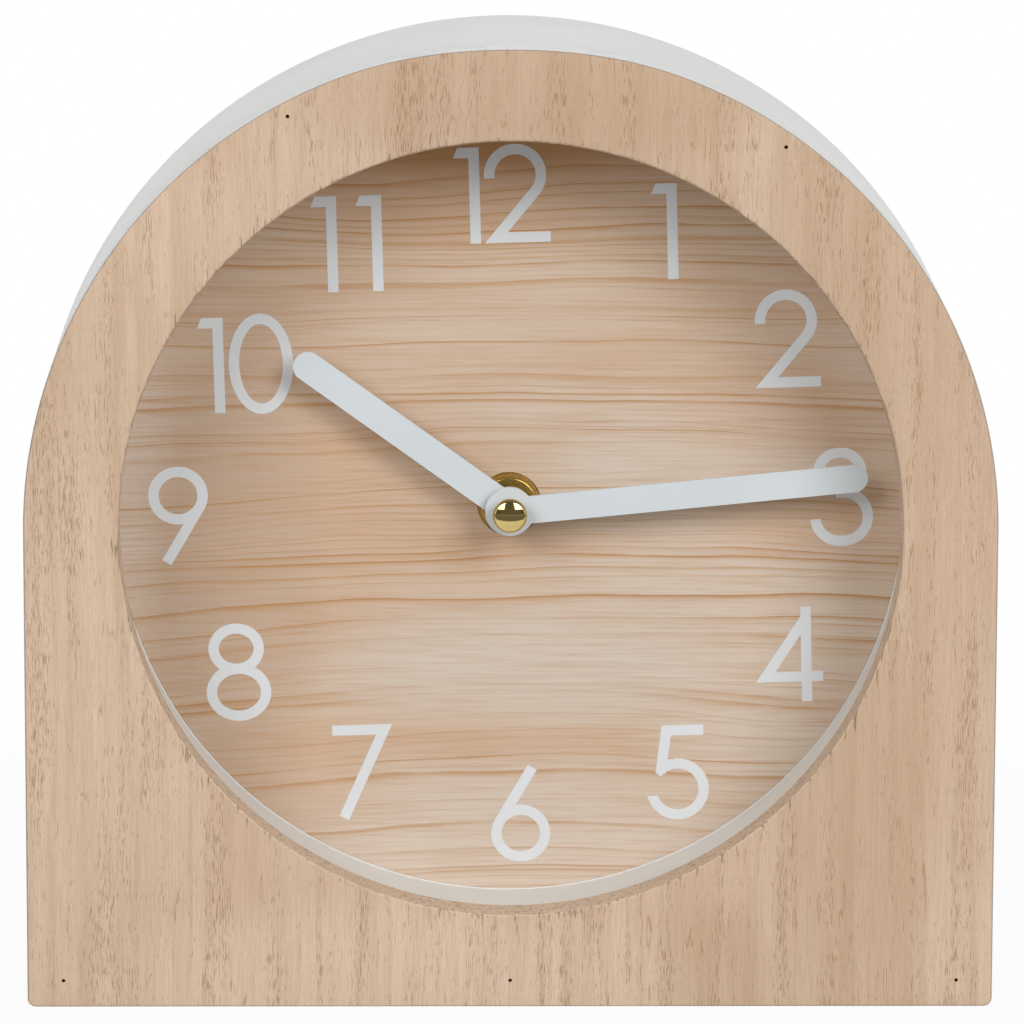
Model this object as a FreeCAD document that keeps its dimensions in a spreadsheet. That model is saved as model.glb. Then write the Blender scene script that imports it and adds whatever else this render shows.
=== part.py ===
import FreeCAD, Part
import Sketcher
import math
import os
import re

# Arch-shaped table clock: a wooden face panel on a white case, a round dial board set deep in
# the case, two straight hands, and a battery quartz movement clamped to the board from behind.
# Frame: millimetres, +Z up, the face looks towards -Y, origin at the middle of the base.

SIZES = {
    # case
    "case_width": 200.0,          # across the straight sides, and twice the radius of the arch
    "side_height": 100.0,         # height of the straight sides: the arch and the dial centre there
    "face_thick": 9.0,            # wooden face panel
    "body_depth": 51.0,           # white case behind the face panel
    "foot_radius": 1.7,           # rounding of the two bottom corners of the outline
    "face_hole_radius": 80.5,
    "bore_radius": 83.0,          # wider than the face hole, so that the panel's rim stands proud
    "face_edge": 0.5,             # chamfer round the front of the face panel
    "body_edge": 0.8,             # chamfer round the back of the case
    "pocket_width": 64.0,         # square pocket at the back for the movement
    "pocket_corner": 5.0,
    # square brads that hold the face panel
    "brad_width": 1.1,
    "brad_length": 24.0,
    "brad_set": 0.5,              # how far the head lies under the face
    "brad_clear": 0.02,           # on each side
    "brad_tip_room": 0.2,         # left free in the case beyond the brad's tip
    "brad_foot_inset": 7.5,       # the two bottom corner brads, from the case's sides
    "brad_foot_height": 5.6,
    "brad_ring_inset": 3.0,       # the two upper brads, from the edge of the arch
    "brad_left_angle": 118.0,
    "brad_right_angle": 55.0,
    # dial
    "dial_setback": 34.0,         # from the face to the front of the dial board
    "dial_thick": 5.0,
    "dial_clear": 0.25,
    "dial_hole_radius": 4.3,
    # hands
    "hour_length": 54.8,
    "hour_width": 6.2,
    "hour_hub_radius": 4.8,
    "hour_height": 7.0,           # from the dial to the back of the hand
    "hour_angle": 305.7,          # clockwise from 12
    "minute_length": 74.9,
    "minute_width": 5.8,
    "minute_hub_radius": 5.1,
    "minute_height": 9.65,
    "minute_angle": 84.4,
    "hand_thick": 0.5,
    "collet_radius": 3.4,
    "collet_length": 2.0,
    # what stands out of the dial
    "plain_washer_radius": 6.7,
    "plain_washer_thick": 0.4,
    "nut_radius": 6.5,
    "nut_rim": 0.5,
    "nut_height": 2.6,
    "nut_top_radius": 4.9,
    "bush_reach": 3.6,            # how far the bush, the hour pipe and the thread stand out of the dial
    "hour_pipe_reach": 7.9,
    "thread_reach": 14.6,
    "cap_radius": 3.57,
    "cap_neck_radius": 2.3,
    "cap_neck_length": 1.3,
    "cap_flare_length": 1.3,
    "cap_skirt_length": 1.7,
    "cap_bore_room": 0.2,         # left free in the cap beyond the end of the thread
    # movement housing
    "rubber_radius": 8.0,
    "rubber_thick": 1.0,
    "shell_depth": 11.4,
    "shell_wall": 1.4,
    "shell_floor": 1.6,
    "shell_corner": 3.0,
    "cover_thick": 1.4,
    "bay_floor": 1.2,
    "train_room": 0.62,           # from the cell's bay up to the centre wheel
    "coil_room": 1.39,            # from the coil up to the housing's wall
    "lip_width": 1.0,             # locating lip inside the cover's edge
    "lip_depth": 1.2,
    "lip_clear": 0.1,
    # bush, pipes and arbors
    "bush_radius": 4.0,
    "flange_radius": 5.5,
    "flange_thick": 0.8,
    "hour_pipe_radius": 2.5,
    "minute_pipe_radius": 1.5,
    "thread_radius": 1.25,
    "arbor_radius": 0.5,
    "run_clear": 0.05,            # radial play of what turns
    "end_play": 0.2,              # endwise play of what turns
    "seat_clear": 0.02,           # play of what is pushed in and stays
    "boss_radius": 1.5,
    "motion_post_radius": 0.7,
    "pivot_depth": 1.2,           # how far an arbor goes into its boss
    # wheels
    "wheel_thick": 1.0,
    "layer_gap": 0.4,
    "pinion_extra": 0.15,         # how far a pinion stands past the wheel that it drives
    "motion_module": 0.4,
    "train_module": 0.3,
    "rotor_module": 0.25,
    "minute_pinion_teeth": 10,
    "motion_wheel_teeth": 30,
    "motion_pinion_teeth": 8,
    "hour_wheel_teeth": 32,
    "setting_teeth": 16,
    "centre_wheel_teeth": 60,
    "third_pinion_teeth": 8,
    "third_wheel_teeth": 64,
    "second_pinion_teeth": 8,
    "second_wheel_teeth": 60,
    "fifth_pinion_teeth": 10,
    "fifth_wheel_teeth": 60,
    "rotor_pinion_teeth": 12,
    "motion_direction": 90.0,     # where each wheel stands, anticlockwise from +X
    "third_direction": 35.0,
    "fifth_direction": 150.0,
    "rotor_direction": 135.0,
    "pressure_angle": 20.0,       # of the teeth's flanks, in degrees
    "tooth_share": 0.42,          # tooth thickness on the pitch circle, as a share of the pitch
    "tooth_top": 0.8,             # height above the pitch circle, in modules
    "tooth_foot": 1.15,           # depth below it
    # step motor
    "magnet_radius": 3.0,
    "magnet_thick": 3.0,
    "stator_hole_radius": 3.6,
    "stator_thick": 1.0,
    "stator_side": 0.65,          # metal left beside the stator's hole
    "stator_margin": 1.0,         # metal left over and under it
    "stator_bridge": 3.0,
    "stator_arm": 4.0,
    "stator_arm_height": 7.0,
    "stator_room": 1.64,          # from the housing's wall to the stator
    "coil_reach": 6.5,            # from the rotor to the coil's right end
    "coil_radius": 3.2,
    "bobbin_radius": 3.5,
    "bobbin_flange": 0.8,
    "bobbin_tube_radius": 2.1,
    "bobbin_bore_radius": 1.65,
    "core_height": 3.0,
    "core_thick": 1.0,
    "post_width": 2.6,            # square posts and pads under the stator and the board
    "post_rise": 4.0,             # height of the stator's posts over the rotor
    # circuit board
    "board_thick": 1.0,
    "board_stand": 0.8,           # height of the pads under the board
    "board_gap": 0.6,             # from the board to the housing's wall
    "board_side_room": 1.65,      # from the board to the third wheel's boss
    "board_bottom": 2.4,          # from the bay's wall up to the board
    "board_top_room": 2.6,        # from the board up to the housing's wall
    "pad_inset": 2.0,
    "crystal_inset": 7.0,
    "crystal_rise": 24.0,
    "chip_rise": 9.0,
    "crystal_radius": 1.0,
    "crystal_length": 6.0,
    "chip_radius": 3.0,
    "chip_height": 0.8,
    # setting knob
    "knob_radius": 5.0,
    "knob_thick": 3.0,
    "knob_gap": 0.4,
    "knob_arbor_radius": 0.9,
    "knob_seat": 2.0,             # how far the arbor goes into the knob
    "knob_grips": 18,
    "grip_depth": 0.5,
    "grip_width": 1.1,
    # cell and contacts
    "cell_radius": 7.1,
    "cell_length": 49.2,
    "cell_nub_radius": 2.7,
    "cell_nub_length": 1.2,
    "cell_edge": 0.6,
    "cell_clear": 0.3,            # all round the cell in its bay
    "cell_end_room": 2.8,         # for the contacts, at the cell's two ends together
    "contact_thick": 0.3,
    "contact_width": 4.6,
    "contact_rise": 8.0,          # how far each contact stands past the bay's wall
    "contact_room": 0.5,          # from the contacts back to the cover
    "slot_clear": 0.1,
    "touch_gap": 0.05,            # between the cell and its contacts
    "leaf_reach": 4.5,            # half height of the bent leaf at the cell's flat end
    "bus_width": 1.0,
    "bus_gap": 0.3,
}

NEAR = 1e-4                       # two lengths closer than this are the same
FULL_TURN = 360

doc = FreeCAD.newDocument("table_clock")
sheet = doc.addObject("Spreadsheet::Sheet", "Sizes")
for row, (size_name, number) in enumerate(SIZES.items(), start=1):
    sheet.set(f"A{row}", size_name)
    sheet.set(f"B{row}", str(number))
    sheet.setAlias(f"B{row}", size_name)
doc.recompute()


def cells(text):
    """An expression in which each size's name points at its cell in the sheet."""
    return re.sub(r"[a-z][a-z_0-9]*", lambda m: f"Sizes.{m[0]}" if m[0] in SIZES else m[0], str(text))


def value(text):
    """The number that an expression of sizes comes to."""
    result = sheet.evalExpression(cells(text))
    return float(getattr(result, "Value", result))


# --- places along the depth, from the face to the back -----------------------------------------
FACE = "(-(face_thick + body_depth) / 2)"
BODY_FRONT = f"({FACE} + face_thick)"
BACK = f"({BODY_FRONT} + body_depth)"
DIAL = f"({FACE} + dial_setback)"
BOARD_BACK = f"({DIAL} + dial_thick)"
SHELL = f"({BOARD_BACK} + rubber_thick)"
FLOOR = f"({SHELL} + shell_floor)"
COVER = f"({SHELL} + shell_depth)"
COVER_BACK = f"({COVER} + cover_thick)"

# layers of the movement, each one wheel thick
LAYER_HOUR = f"({FLOOR} + end_play)"
LAYER_MOTION = f"({LAYER_HOUR} + wheel_thick + layer_gap)"
LAYER_CENTRE = f"({LAYER_MOTION} + wheel_thick + layer_gap)"
LAYER_SECOND = f"({LAYER_CENTRE} + wheel_thick + layer_gap)"
LAYER_THIRD = f"({LAYER_SECOND} + wheel_thick + layer_gap)"
LAYER_FIFTH = f"({LAYER_THIRD} + wheel_thick + layer_gap)"

# --- where the arbors stand, across the movement -----------------------------------------------
AXIS = ("0", "side_height")


def from_point(point, distance, direction):
    """A point at a distance from another, in a direction anticlockwise from +X."""
    return (
        f"({point[0]} + {distance} * cos({direction} * 1 deg))",
        f"({point[1]} + {distance} * sin({direction} * 1 deg))",
    )


MOTION_CENTRES = "(motion_module * (minute_pinion_teeth + motion_wheel_teeth) / 2)"
SETTING_CENTRES = "(motion_module * (motion_wheel_teeth + setting_teeth) / 2)"
TRAIN_CENTRES = "(train_module * (second_pinion_teeth + third_wheel_teeth) / 2)"
CENTRE_MODULE = f"({TRAIN_CENTRES} * 2 / (third_pinion_teeth + centre_wheel_teeth))"
HOUR_MODULE = f"({MOTION_CENTRES} * 2 / (motion_pinion_teeth + hour_wheel_teeth))"
FIFTH_CENTRES = "(train_module * (second_wheel_teeth + fifth_pinion_teeth) / 2)"
ROTOR_CENTRES = "(rotor_module * (fifth_wheel_teeth + rotor_pinion_teeth) / 2)"

MOTION_AT = from_point(AXIS, MOTION_CENTRES, "motion_direction")
SETTING_AT = from_point(MOTION_AT, SETTING_CENTRES, "motion_direction")
THIRD_AT = from_point(AXIS, TRAIN_CENTRES, "third_direction")
FIFTH_AT = from_point(AXIS, FIFTH_CENTRES, "fifth_direction")
ROTOR_AT = from_point(FIFTH_AT, ROTOR_CENTRES, "rotor_direction")

# The housing is as wide as the cell needs, and as high as the cell, the wheels and the coil need.
INNER_WALL = "((cell_length + cell_nub_length + cell_end_room) / 2)"
SHELL_RIGHT = f"({INNER_WALL} + shell_wall)"
SHELL_LEFT = f"(-{SHELL_RIGHT})"
BAY_WIDTH = "(2 * (cell_radius + cell_clear))"
BAY_DEPTH = f"(bay_floor + {BAY_WIDTH})"
CENTRE_TIP = f"({CENTRE_MODULE} * (centre_wheel_teeth / 2 + tooth_top))"
ROOM_BOTTOM = f"(side_height - {CENTRE_TIP} - train_room)"
BAY_TOP = f"({ROOM_BOTTOM} - shell_wall)"
BAY_BOTTOM = f"({BAY_TOP} - {BAY_WIDTH})"
SHELL_BOTTOM = f"({BAY_BOTTOM} - shell_wall)"

# coil and stator, between the housing's left wall and the rotor
ARM_LEFT = f"(stator_room + stator_arm - {INNER_WALL})"
ARM_RIGHT = f"({ROTOR_AT[0]} + coil_reach)"
COIL_LENGTH = f"({ARM_RIGHT} - {ARM_LEFT})"
COIL_MIDDLE = f"(({ARM_LEFT} + {ARM_RIGHT}) / 2)"
YOKE_BOTTOM = f"({ROTOR_AT[1]} - stator_hole_radius - stator_margin)"
YOKE_TOP = f"({ROTOR_AT[1]} + stator_hole_radius + stator_margin)"
CORE_AT = f"({YOKE_TOP} + stator_arm_height - core_height)"
ROOM_TOP = f"({CORE_AT} + core_height / 2 + bobbin_radius + coil_room)"
SHELL_TOP = f"({ROOM_TOP} + shell_wall)"


# --- document helpers --------------------------------------------------------------------------
def bind(item, prop, text):
    item.setExpression(prop, cells(text))


def new_body(label, x="0", y="0", z="0"):
    body = doc.addObject("PartDesign::Body", label)
    body.Label = label
    for letter, text in zip("xyz", (x, y, z)):
        bind(body, f"Placement.Base.{letter}", text)
    return body


def origin_plane(body, role):
    return next(item for item in body.Origin.OriginFeatures if item.Role == role)


def new_sketch(body, name, role="XZ_Plane", offset="0"):
    sketch = body.newObject("Sketcher::SketchObject", name)
    sketch.AttachmentSupport = [(origin_plane(body, role), "")]
    sketch.MapMode = "FlatFace"
    bind(sketch, "AttachmentOffset.Base.z", offset)
    return sketch


def hold(sketch, kind, *where, to):
    """A dimension on the sketch that follows an expression of sizes."""
    index = sketch.addConstraint(Sketcher.Constraint(kind, *where, value(to)))
    bind(sketch, f"Constraints[{index}]", to)


def hold_point(sketch, geometry, point, x, y):
    """Fixes a point of the sketch by its two distances from the origin."""
    for kind, text in (("X", x), ("Y", y)):
        if abs(value(text)) < NEAR:
            on_axis = -2 if kind == "X" else -1
            sketch.addConstraint(Sketcher.Constraint("PointOnObject", geometry, point, on_axis))
        elif value(text) > 0:
            hold(sketch, f"Distance{kind}", -1, 1, geometry, point, to=text)
        else:
            hold(sketch, f"Distance{kind}", geometry, point, -1, 1, to=f"-({text})")


def circles(body, name, rounds, role="XZ_Plane", offset="0"):
    """A sketch of circles, each given as (x, y, radius)."""
    sketch = new_sketch(body, name, role, offset)
    for x, y, radius in rounds:
        centre = FreeCAD.Vector(value(x), value(y), 0)
        index = sketch.addGeometry(Part.Circle(centre, FreeCAD.Vector(0, 0, 1), value(radius)))
        hold_point(sketch, index, 3, x, y)
        hold(sketch, "Radius", index, to=radius)
    return sketch


def polygon(body, name, *outlines, role="XZ_Plane", offset="0", dome=None):
    """A sketch of closed outlines with straight sides. The side numbered dome is instead a
    quarter circle, from its pole on the vertical axis to the corner level with its centre."""
    sketch = new_sketch(body, name, role, offset)
    for corners in outlines:
        points = [FreeCAD.Vector(value(x), value(y), 0) for x, y in corners]
        first, count = sketch.GeometryCount, len(points)
        for index in range(count):
            start, end = points[index], points[(index + 1) % count]
            side = Part.LineSegment(start, end)
            if index == dome:
                circle = Part.Circle(FreeCAD.Vector(0, end.y, 0), FreeCAD.Vector(0, 0, 1), end.x)
                side = Part.ArcOfCircle(circle, -math.pi / 2, 0)
            sketch.addGeometry(side)
        for index in range(count):
            side, following = first + index, first + (index + 1) % count
            sketch.addConstraint(Sketcher.Constraint("Coincident", side, 2, following, 1))
        for index, (x, y) in enumerate(corners):
            hold_point(sketch, first + index, 1, x, y)
    if dome is not None:
        sketch.addConstraint(Sketcher.Constraint("PointOnObject", dome, 3, -2))
    return sketch


def box_corners(left, right, bottom, top):
    return [(left, bottom), (right, bottom), (right, top), (left, top)]


def square(x, y, width):
    half = f"({width}) / 2"
    return box_corners(f"{x} - {half}", f"{x} + {half}", f"{y} - {half}", f"{y} + {half}")


def checked_volume(body, feature):
    doc.recompute()
    if "Invalid" in feature.State or "Error" in feature.State:
        raise RuntimeError(f"{body.Label}: {feature.Label} failed")
    return feature.Shape.Volume


def pad(body, sketch, length, away=False):
    feature = body.newObject("PartDesign::Pad", f"{sketch.Name}_pad")
    feature.Profile = sketch
    feature.Reversed = away
    bind(feature, "Length", length)
    checked_volume(body, feature)
    return feature


def pocket(body, sketch, length, away=False):
    """Cuts along the depth: from a front plane by default, or from a back plane with away."""
    before = body.Tip.Shape.Volume
    feature = body.newObject("PartDesign::Pocket", f"{sketch.Name}_pocket")
    feature.Profile = sketch
    feature.Reversed = away
    bind(feature, "Length", length)
    if checked_volume(body, feature) >= before:
        raise RuntimeError(f"{body.Label}: {feature.Label} cuts nothing")
    return feature


def revolve(body, sketch, role="Z_Axis"):
    feature = body.newObject("PartDesign::Revolution", f"{sketch.Name}_turned")
    feature.Profile = sketch
    feature.ReferenceAxis = (origin_plane(body, role), [""])
    feature.Angle = FULL_TURN
    checked_volume(body, feature)
    return feature


def edge_names(shape, test):
    return [f"Edge{index}" for index, edge in enumerate(shape.Edges, start=1) if test(edge)]


def round_edges(body, radius, test):
    base = body.Tip
    feature = body.newObject("PartDesign::Fillet", f"{body.Name}_round")
    feature.Base = (base, edge_names(base.Shape, test))
    bind(feature, "Radius", radius)
    checked_volume(body, feature)


def chamfer_edges(body, size, test):
    base = body.Tip
    feature = body.newObject("PartDesign::Chamfer", f"{body.Name}_chamfer")
    feature.Base = (base, edge_names(base.Shape, test))
    bind(feature, "Size", size)
    checked_volume(body, feature)


def along_y(edge):
    ends = [vertex.Point for vertex in edge.Vertexes]
    return len(ends) == 2 and abs((ends[1] - ends[0]).normalize().y) > 1 - NEAR


def on_plane(edge, y):
    return abs(edge.BoundBox.YMin - y) < NEAR and abs(edge.BoundBox.YMax - y) < NEAR


# --- case --------------------------------------------------------------------------------------
def arch(body, name):
    """The outline of face panel and case: straight sides under a half circle."""
    half, height = value("case_width / 2"), value("side_height")
    sketch = new_sketch(body, name)
    top = FreeCAD.Vector(0, height, 0)
    spots = ((-half, 0, 0), (-half, height, 0), (half, height, 0), (half, 0, 0))
    left_foot, left_shoulder, right_shoulder, right_foot = (FreeCAD.Vector(*spot) for spot in spots)
    left = sketch.addGeometry(Part.LineSegment(left_foot, left_shoulder))
    round_top = Part.Circle(top, FreeCAD.Vector(0, 0, 1), half)
    over = sketch.addGeometry(Part.ArcOfCircle(round_top, 0, math.pi))
    right = sketch.addGeometry(Part.LineSegment(right_shoulder, right_foot))
    base = sketch.addGeometry(Part.LineSegment(right_foot, left_foot))
    joins = ((left, 2, over, 2), (over, 1, right, 1), (right, 2, base, 1), (base, 2, left, 1))
    for join in joins:
        sketch.addConstraint(Sketcher.Constraint("Coincident", *join))
    hold_point(sketch, over, 3, "0", "side_height")
    hold_point(sketch, over, 1, "case_width / 2", "side_height")
    sketch.addConstraint(Sketcher.Constraint("Horizontal", over, 2, over, 3))
    for side, end in ((left, 1), (right, 2)):
        sketch.addConstraint(Sketcher.Constraint("Vertical", side))
        sketch.addConstraint(Sketcher.Constraint("PointOnObject", side, end, -1))
    return sketch


def round_feet(body):
    round_edges(body, "foot_radius", lambda edge: along_y(edge) and edge.CenterOfMass.z < NEAR)


def brad_places():
    """The middles of the brads: three along the foot and two round the arch."""
    side = "(case_width / 2 - brad_foot_inset)"
    foot = [(x, "brad_foot_height") for x in (f"-{side}", "0", side)]
    ring = "(case_width / 2 - brad_ring_inset)"
    return foot + [from_point(AXIS, ring, angle) for angle in ("brad_left_angle", "brad_right_angle")]


def brad_holes():
    return [square(x, z, "brad_width + 2 * brad_clear") for x, z in brad_places()]


def make_face_panel():
    body = new_body("face_panel", y=BODY_FRONT)
    pad(body, arch(body, "face_outline"), "face_thick")
    round_feet(body)
    pocket(body, circles(body, "face_hole", [(*AXIS, "face_hole_radius")]), "face_thick", away=True)
    front = -value("face_thick")
    chamfer_edges(body, "face_edge", lambda edge: on_plane(edge, front))
    pocket(body, polygon(body, "face_brad_holes", *brad_holes()), "face_thick", away=True)
    return body


def make_case_body():
    bore_depth = "(dial_setback - face_thick + dial_thick)"
    body = new_body("case_body", y=BACK)
    pad(body, arch(body, "case_outline"), "body_depth")
    round_feet(body)
    chamfer_edges(body, "body_edge", lambda edge: on_plane(edge, 0))
    bore = circles(body, "dial_bore", [(*AXIS, "bore_radius")], offset="body_depth")
    pocket(body, bore, bore_depth)
    half = "pocket_width / 2"
    opening = box_corners(f"-{half}", half, f"side_height - {half}", f"side_height + {half}")
    pocket(body, polygon(body, "rear_pocket", opening), f"body_depth - {bore_depth}", away=True)
    wall = value(half) + NEAR
    round_edges(body, "pocket_corner", lambda edge: along_y(edge) and abs(edge.CenterOfMass.x) < wall)
    depth = "brad_length + brad_set - face_thick + brad_tip_room"
    pocket(body, polygon(body, "case_brad_holes", *brad_holes(), offset="body_depth"), depth)
    return body


def make_face_brads():
    brads = []
    for index, (x, z) in enumerate(brad_places(), start=1):
        brad = doc.addObject("Part::Box", f"brad_{index}")
        for prop, size in (("Length", "brad_width"), ("Width", "brad_length"), ("Height", "brad_width")):
            bind(brad, prop, size)
        left, bottom = square(x, z, "brad_width")[0]
        for letter, text in (("x", left), ("y", f"{FACE} + brad_set"), ("z", bottom)):
            bind(brad, f"Placement.Base.{letter}", text)
        brads.append(brad)
    group = doc.addObject("Part::Compound", "face_brads")
    group.Links = brads
    return group


def make_dial_board():
    body = new_body("dial_board", y=BOARD_BACK)
    rounds = [(*AXIS, "bore_radius - dial_clear"), (*AXIS, "dial_hole_radius")]
    pad(body, circles(body, "board_disc", rounds), "dial_thick")
    return body


# --- pieces turned about the dial's axis -------------------------------------------------------
def turned(label, outline, dome=None):
    """A piece turned about the dial's axis from (radius, depth) corners."""
    body = new_body(label, z="side_height")
    profile = polygon(body, f"{label}_profile", outline, role="XY_Plane", dome=dome)
    revolve(body, profile, role="Y_Axis")
    return body


def make_rubber_washer():
    return turned("rubber_washer", box_corners("bush_radius + run_clear", "rubber_radius", BOARD_BACK, SHELL))


def make_plain_washer():
    front = f"{DIAL} - plain_washer_thick"
    return turned("plain_washer", box_corners("bush_radius + run_clear", "plain_washer_radius", front, DIAL))


def make_ring_nut():
    seat = f"({DIAL} - plain_washer_thick)"
    front = f"({seat} - nut_height)"
    bore = "bush_radius + seat_clear"
    outline = [
        (bore, seat),
        (bore, front),
        ("nut_top_radius - nut_rim", front),
        ("nut_top_radius", f"{front} + nut_rim / 2"),
        ("nut_radius", f"{seat} - nut_rim"),
        ("nut_radius", seat),
    ]
    return turned("ring_nut", outline)


def make_threaded_bush():
    bore = "hour_pipe_radius + run_clear"
    front = f"{DIAL} - bush_reach"
    outline = [
        (bore, front),
        ("bush_radius", front),
        ("bush_radius", f"{FLOOR} - flange_thick"),
        ("flange_radius", f"{FLOOR} - flange_thick"),
        ("flange_radius", FLOOR),
        (bore, FLOOR),
    ]
    return turned("threaded_bush", outline)


def make_cap_nut():
    seat = f"({DIAL} - minute_height - hand_thick)"
    bore = "thread_radius + seat_clear"
    bore_end = f"{DIAL} - thread_reach - cap_bore_room"
    neck = f"({seat} - cap_neck_length)"
    skirt = f"({neck} - cap_flare_length)"
    dome = f"({skirt} - cap_skirt_length)"
    outline = [
        (bore, seat),
        (bore, bore_end),
        ("0", bore_end),
        ("0", f"{dome} - cap_radius"),
        ("cap_radius", dome),
        ("cap_radius", skirt),
        ("cap_neck_radius", neck),
        ("cap_neck_radius", seat),
    ]
    return turned("cap_nut", outline, dome=outline.index(("0", f"{dome} - cap_radius")))


def make_hand(name, pipe_radius, collet_length=None):
    """A straight hand with a round hub and a round end, drawn pointing up and turned to its hour."""
    label = f"{name}_hand"
    length, width, hub = f"{name}_length", f"{name}_width", f"{name}_hub_radius"
    body = new_body(label, y=f"{DIAL} - {name}_height", z="side_height")
    pad(body, circles(body, f"{label}_hub", [("0", "0", hub)]), "hand_thick")
    straight = f"{length} - {width} / 2"
    bar = box_corners(f"-{width} / 2", f"{width} / 2", "0", straight)
    pad(body, polygon(body, f"{label}_bar", bar), "hand_thick")
    pad(body, circles(body, f"{label}_end", [("0", straight, f"{width} / 2")]), "hand_thick")
    if collet_length:
        collet = circles(body, f"{label}_collet", [("0", "0", "collet_radius")])
        pad(body, collet, collet_length, away=True)
    behind = collet_length or "0"
    hole = [("0", "0", f"{pipe_radius} + seat_clear")]
    bore = circles(body, f"{label}_bore", hole, offset=f"-{behind}")
    pocket(body, bore, f"hand_thick + {behind}", away=True)
    turn = FreeCAD.Rotation(FreeCAD.Vector(0, 1, 0), value(f"{name}_angle"))
    body.Placement = FreeCAD.Placement(body.Placement.Base, turn)
    bind(body, "Placement.Rotation.Angle", f"{name}_angle * 1 deg")
    return body


def make_hour_hand():
    return make_hand("hour", "hour_pipe_radius", collet_length="collet_length")


def make_minute_hand():
    return make_hand("minute", "thread_radius")


# --- movement housing --------------------------------------------------------------------------
MAGNET_FRONT = f"({LAYER_CENTRE} + end_play)"
STATOR_FRONT = f"({MAGNET_FRONT} + (magnet_thick - stator_thick) / 2)"
BOARD_FRONT = f"({FLOOR} + board_stand)"
BOARD_RIGHT = f"({INNER_WALL} - board_gap)"
BOARD_LEFT = f"({THIRD_AT[0]} + boss_radius + board_side_room)"
BOARD_BOTTOM = f"({ROOM_BOTTOM} + board_bottom)"
BOARD_TOP = f"({ROOM_TOP} - board_top_room)"
CELL_HEIGHT = f"({BAY_BOTTOM} + {BAY_WIDTH} / 2)"
CELL_DEPTH = f"({SHELL} + bay_floor + cell_clear + cell_radius)"
CONTACT_BACK = f"({COVER} - contact_room)"

# how far each arbor's front boss stands off the floor
FRONT_BOSSES = {
    "third": (THIRD_AT, f"({LAYER_CENTRE} - pinion_extra - end_play - {FLOOR})"),
    "fifth": (FIFTH_AT, f"({LAYER_CENTRE} - pinion_extra - end_play - {FLOOR})"),
    "rotor": (ROTOR_AT, f"({MAGNET_FRONT} - end_play - {FLOOR})"),
    "setting": (SETTING_AT, f"({LAYER_MOTION} - pinion_extra - end_play - {FLOOR})"),
}
THIRD_BOSS_END = f"({LAYER_THIRD} + wheel_thick + pinion_extra + end_play)"
FIFTH_BOSS_END = f"({LAYER_FIFTH} + wheel_thick + pinion_extra + end_play)"
COVER_BOSSES = {
    "second": (AXIS, THIRD_BOSS_END),
    "third": (THIRD_AT, THIRD_BOSS_END),
    "fifth": (FIFTH_AT, FIFTH_BOSS_END),
    "rotor": (ROTOR_AT, FIFTH_BOSS_END),
}


def housing_shell(body):
    """The tray for the wheels and, below it, the deeper open bay for the cell."""
    outline = box_corners(SHELL_LEFT, SHELL_RIGHT, SHELL_BOTTOM, SHELL_TOP)
    pad(body, polygon(body, "shell_outline", outline), "shell_depth")
    bay_outline = box_corners(SHELL_LEFT, SHELL_RIGHT, SHELL_BOTTOM, ROOM_BOTTOM)
    pad(body, polygon(body, "bay_outline", bay_outline), f"{BAY_DEPTH} - shell_depth", away=True)
    full_depth = value("shell_depth") - NEAR
    round_edges(body, "shell_corner", lambda edge: along_y(edge) and edge.Length > full_depth)
    room = box_corners(f"-{INNER_WALL}", INNER_WALL, ROOM_BOTTOM, ROOM_TOP)
    pocket(body, polygon(body, "wheel_room", room), "shell_depth - shell_floor", away=True)
    bay = box_corners(f"-{INNER_WALL}", INNER_WALL, BAY_BOTTOM, BAY_TOP)
    mouth = f"shell_depth - {BAY_DEPTH}"
    pocket(body, polygon(body, "cell_bay", bay, offset=mouth), BAY_WIDTH, away=True)


def bush_seat(body, floor_plane):
    seat = circles(body, "flange_seat", [(*AXIS, "flange_radius + seat_clear")], offset=floor_plane)
    pocket(body, seat, "flange_thick", away=True)
    hole = circles(body, "bush_hole", [(*AXIS, "bush_radius + seat_clear")], offset=floor_plane)
    pocket(body, hole, "shell_floor", away=True)


def arbor_bosses(body, floor_plane):
    """A bored boss for the front end of each arbor, and the post that the motion wheel turns on."""
    for name, (place, height) in FRONT_BOSSES.items():
        boss = circles(body, f"{name}_boss", [(*place, "boss_radius")], offset=floor_plane)
        pad(body, boss, height, away=True)
        top = f"{floor_plane} - {height}"
        pivot = circles(body, f"{name}_pivot", [(*place, "arbor_radius + run_clear")], offset=top)
        pocket(body, pivot, "pivot_depth + end_play", away=True)
    post = circles(body, "motion_post", [(*MOTION_AT, "motion_post_radius")], offset=floor_plane)
    pad(body, post, f"{LAYER_CENTRE} - end_play - {FLOOR}", away=True)


def stator_and_board_posts(body, floor_plane):
    height = f"{ROTOR_AT[1]} + post_rise"
    sides = (f"{ARM_LEFT} - stator_arm / 2", f"{ARM_RIGHT} + stator_arm / 2")
    outlines = [square(x, height, "post_width") for x in sides]
    posts = polygon(body, "stator_posts", *outlines, offset=floor_plane)
    pad(body, posts, f"{STATOR_FRONT} - {FLOOR}", away=True)
    middle = f"({BOARD_LEFT} + {BOARD_RIGHT}) / 2"
    ends = (f"{BOARD_BOTTOM} + pad_inset", f"{BOARD_TOP} - pad_inset")
    outlines = [square(middle, z, "post_width") for z in ends]
    pad(body, polygon(body, "board_pads", *outlines, offset=floor_plane), "board_stand", away=True)


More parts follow.
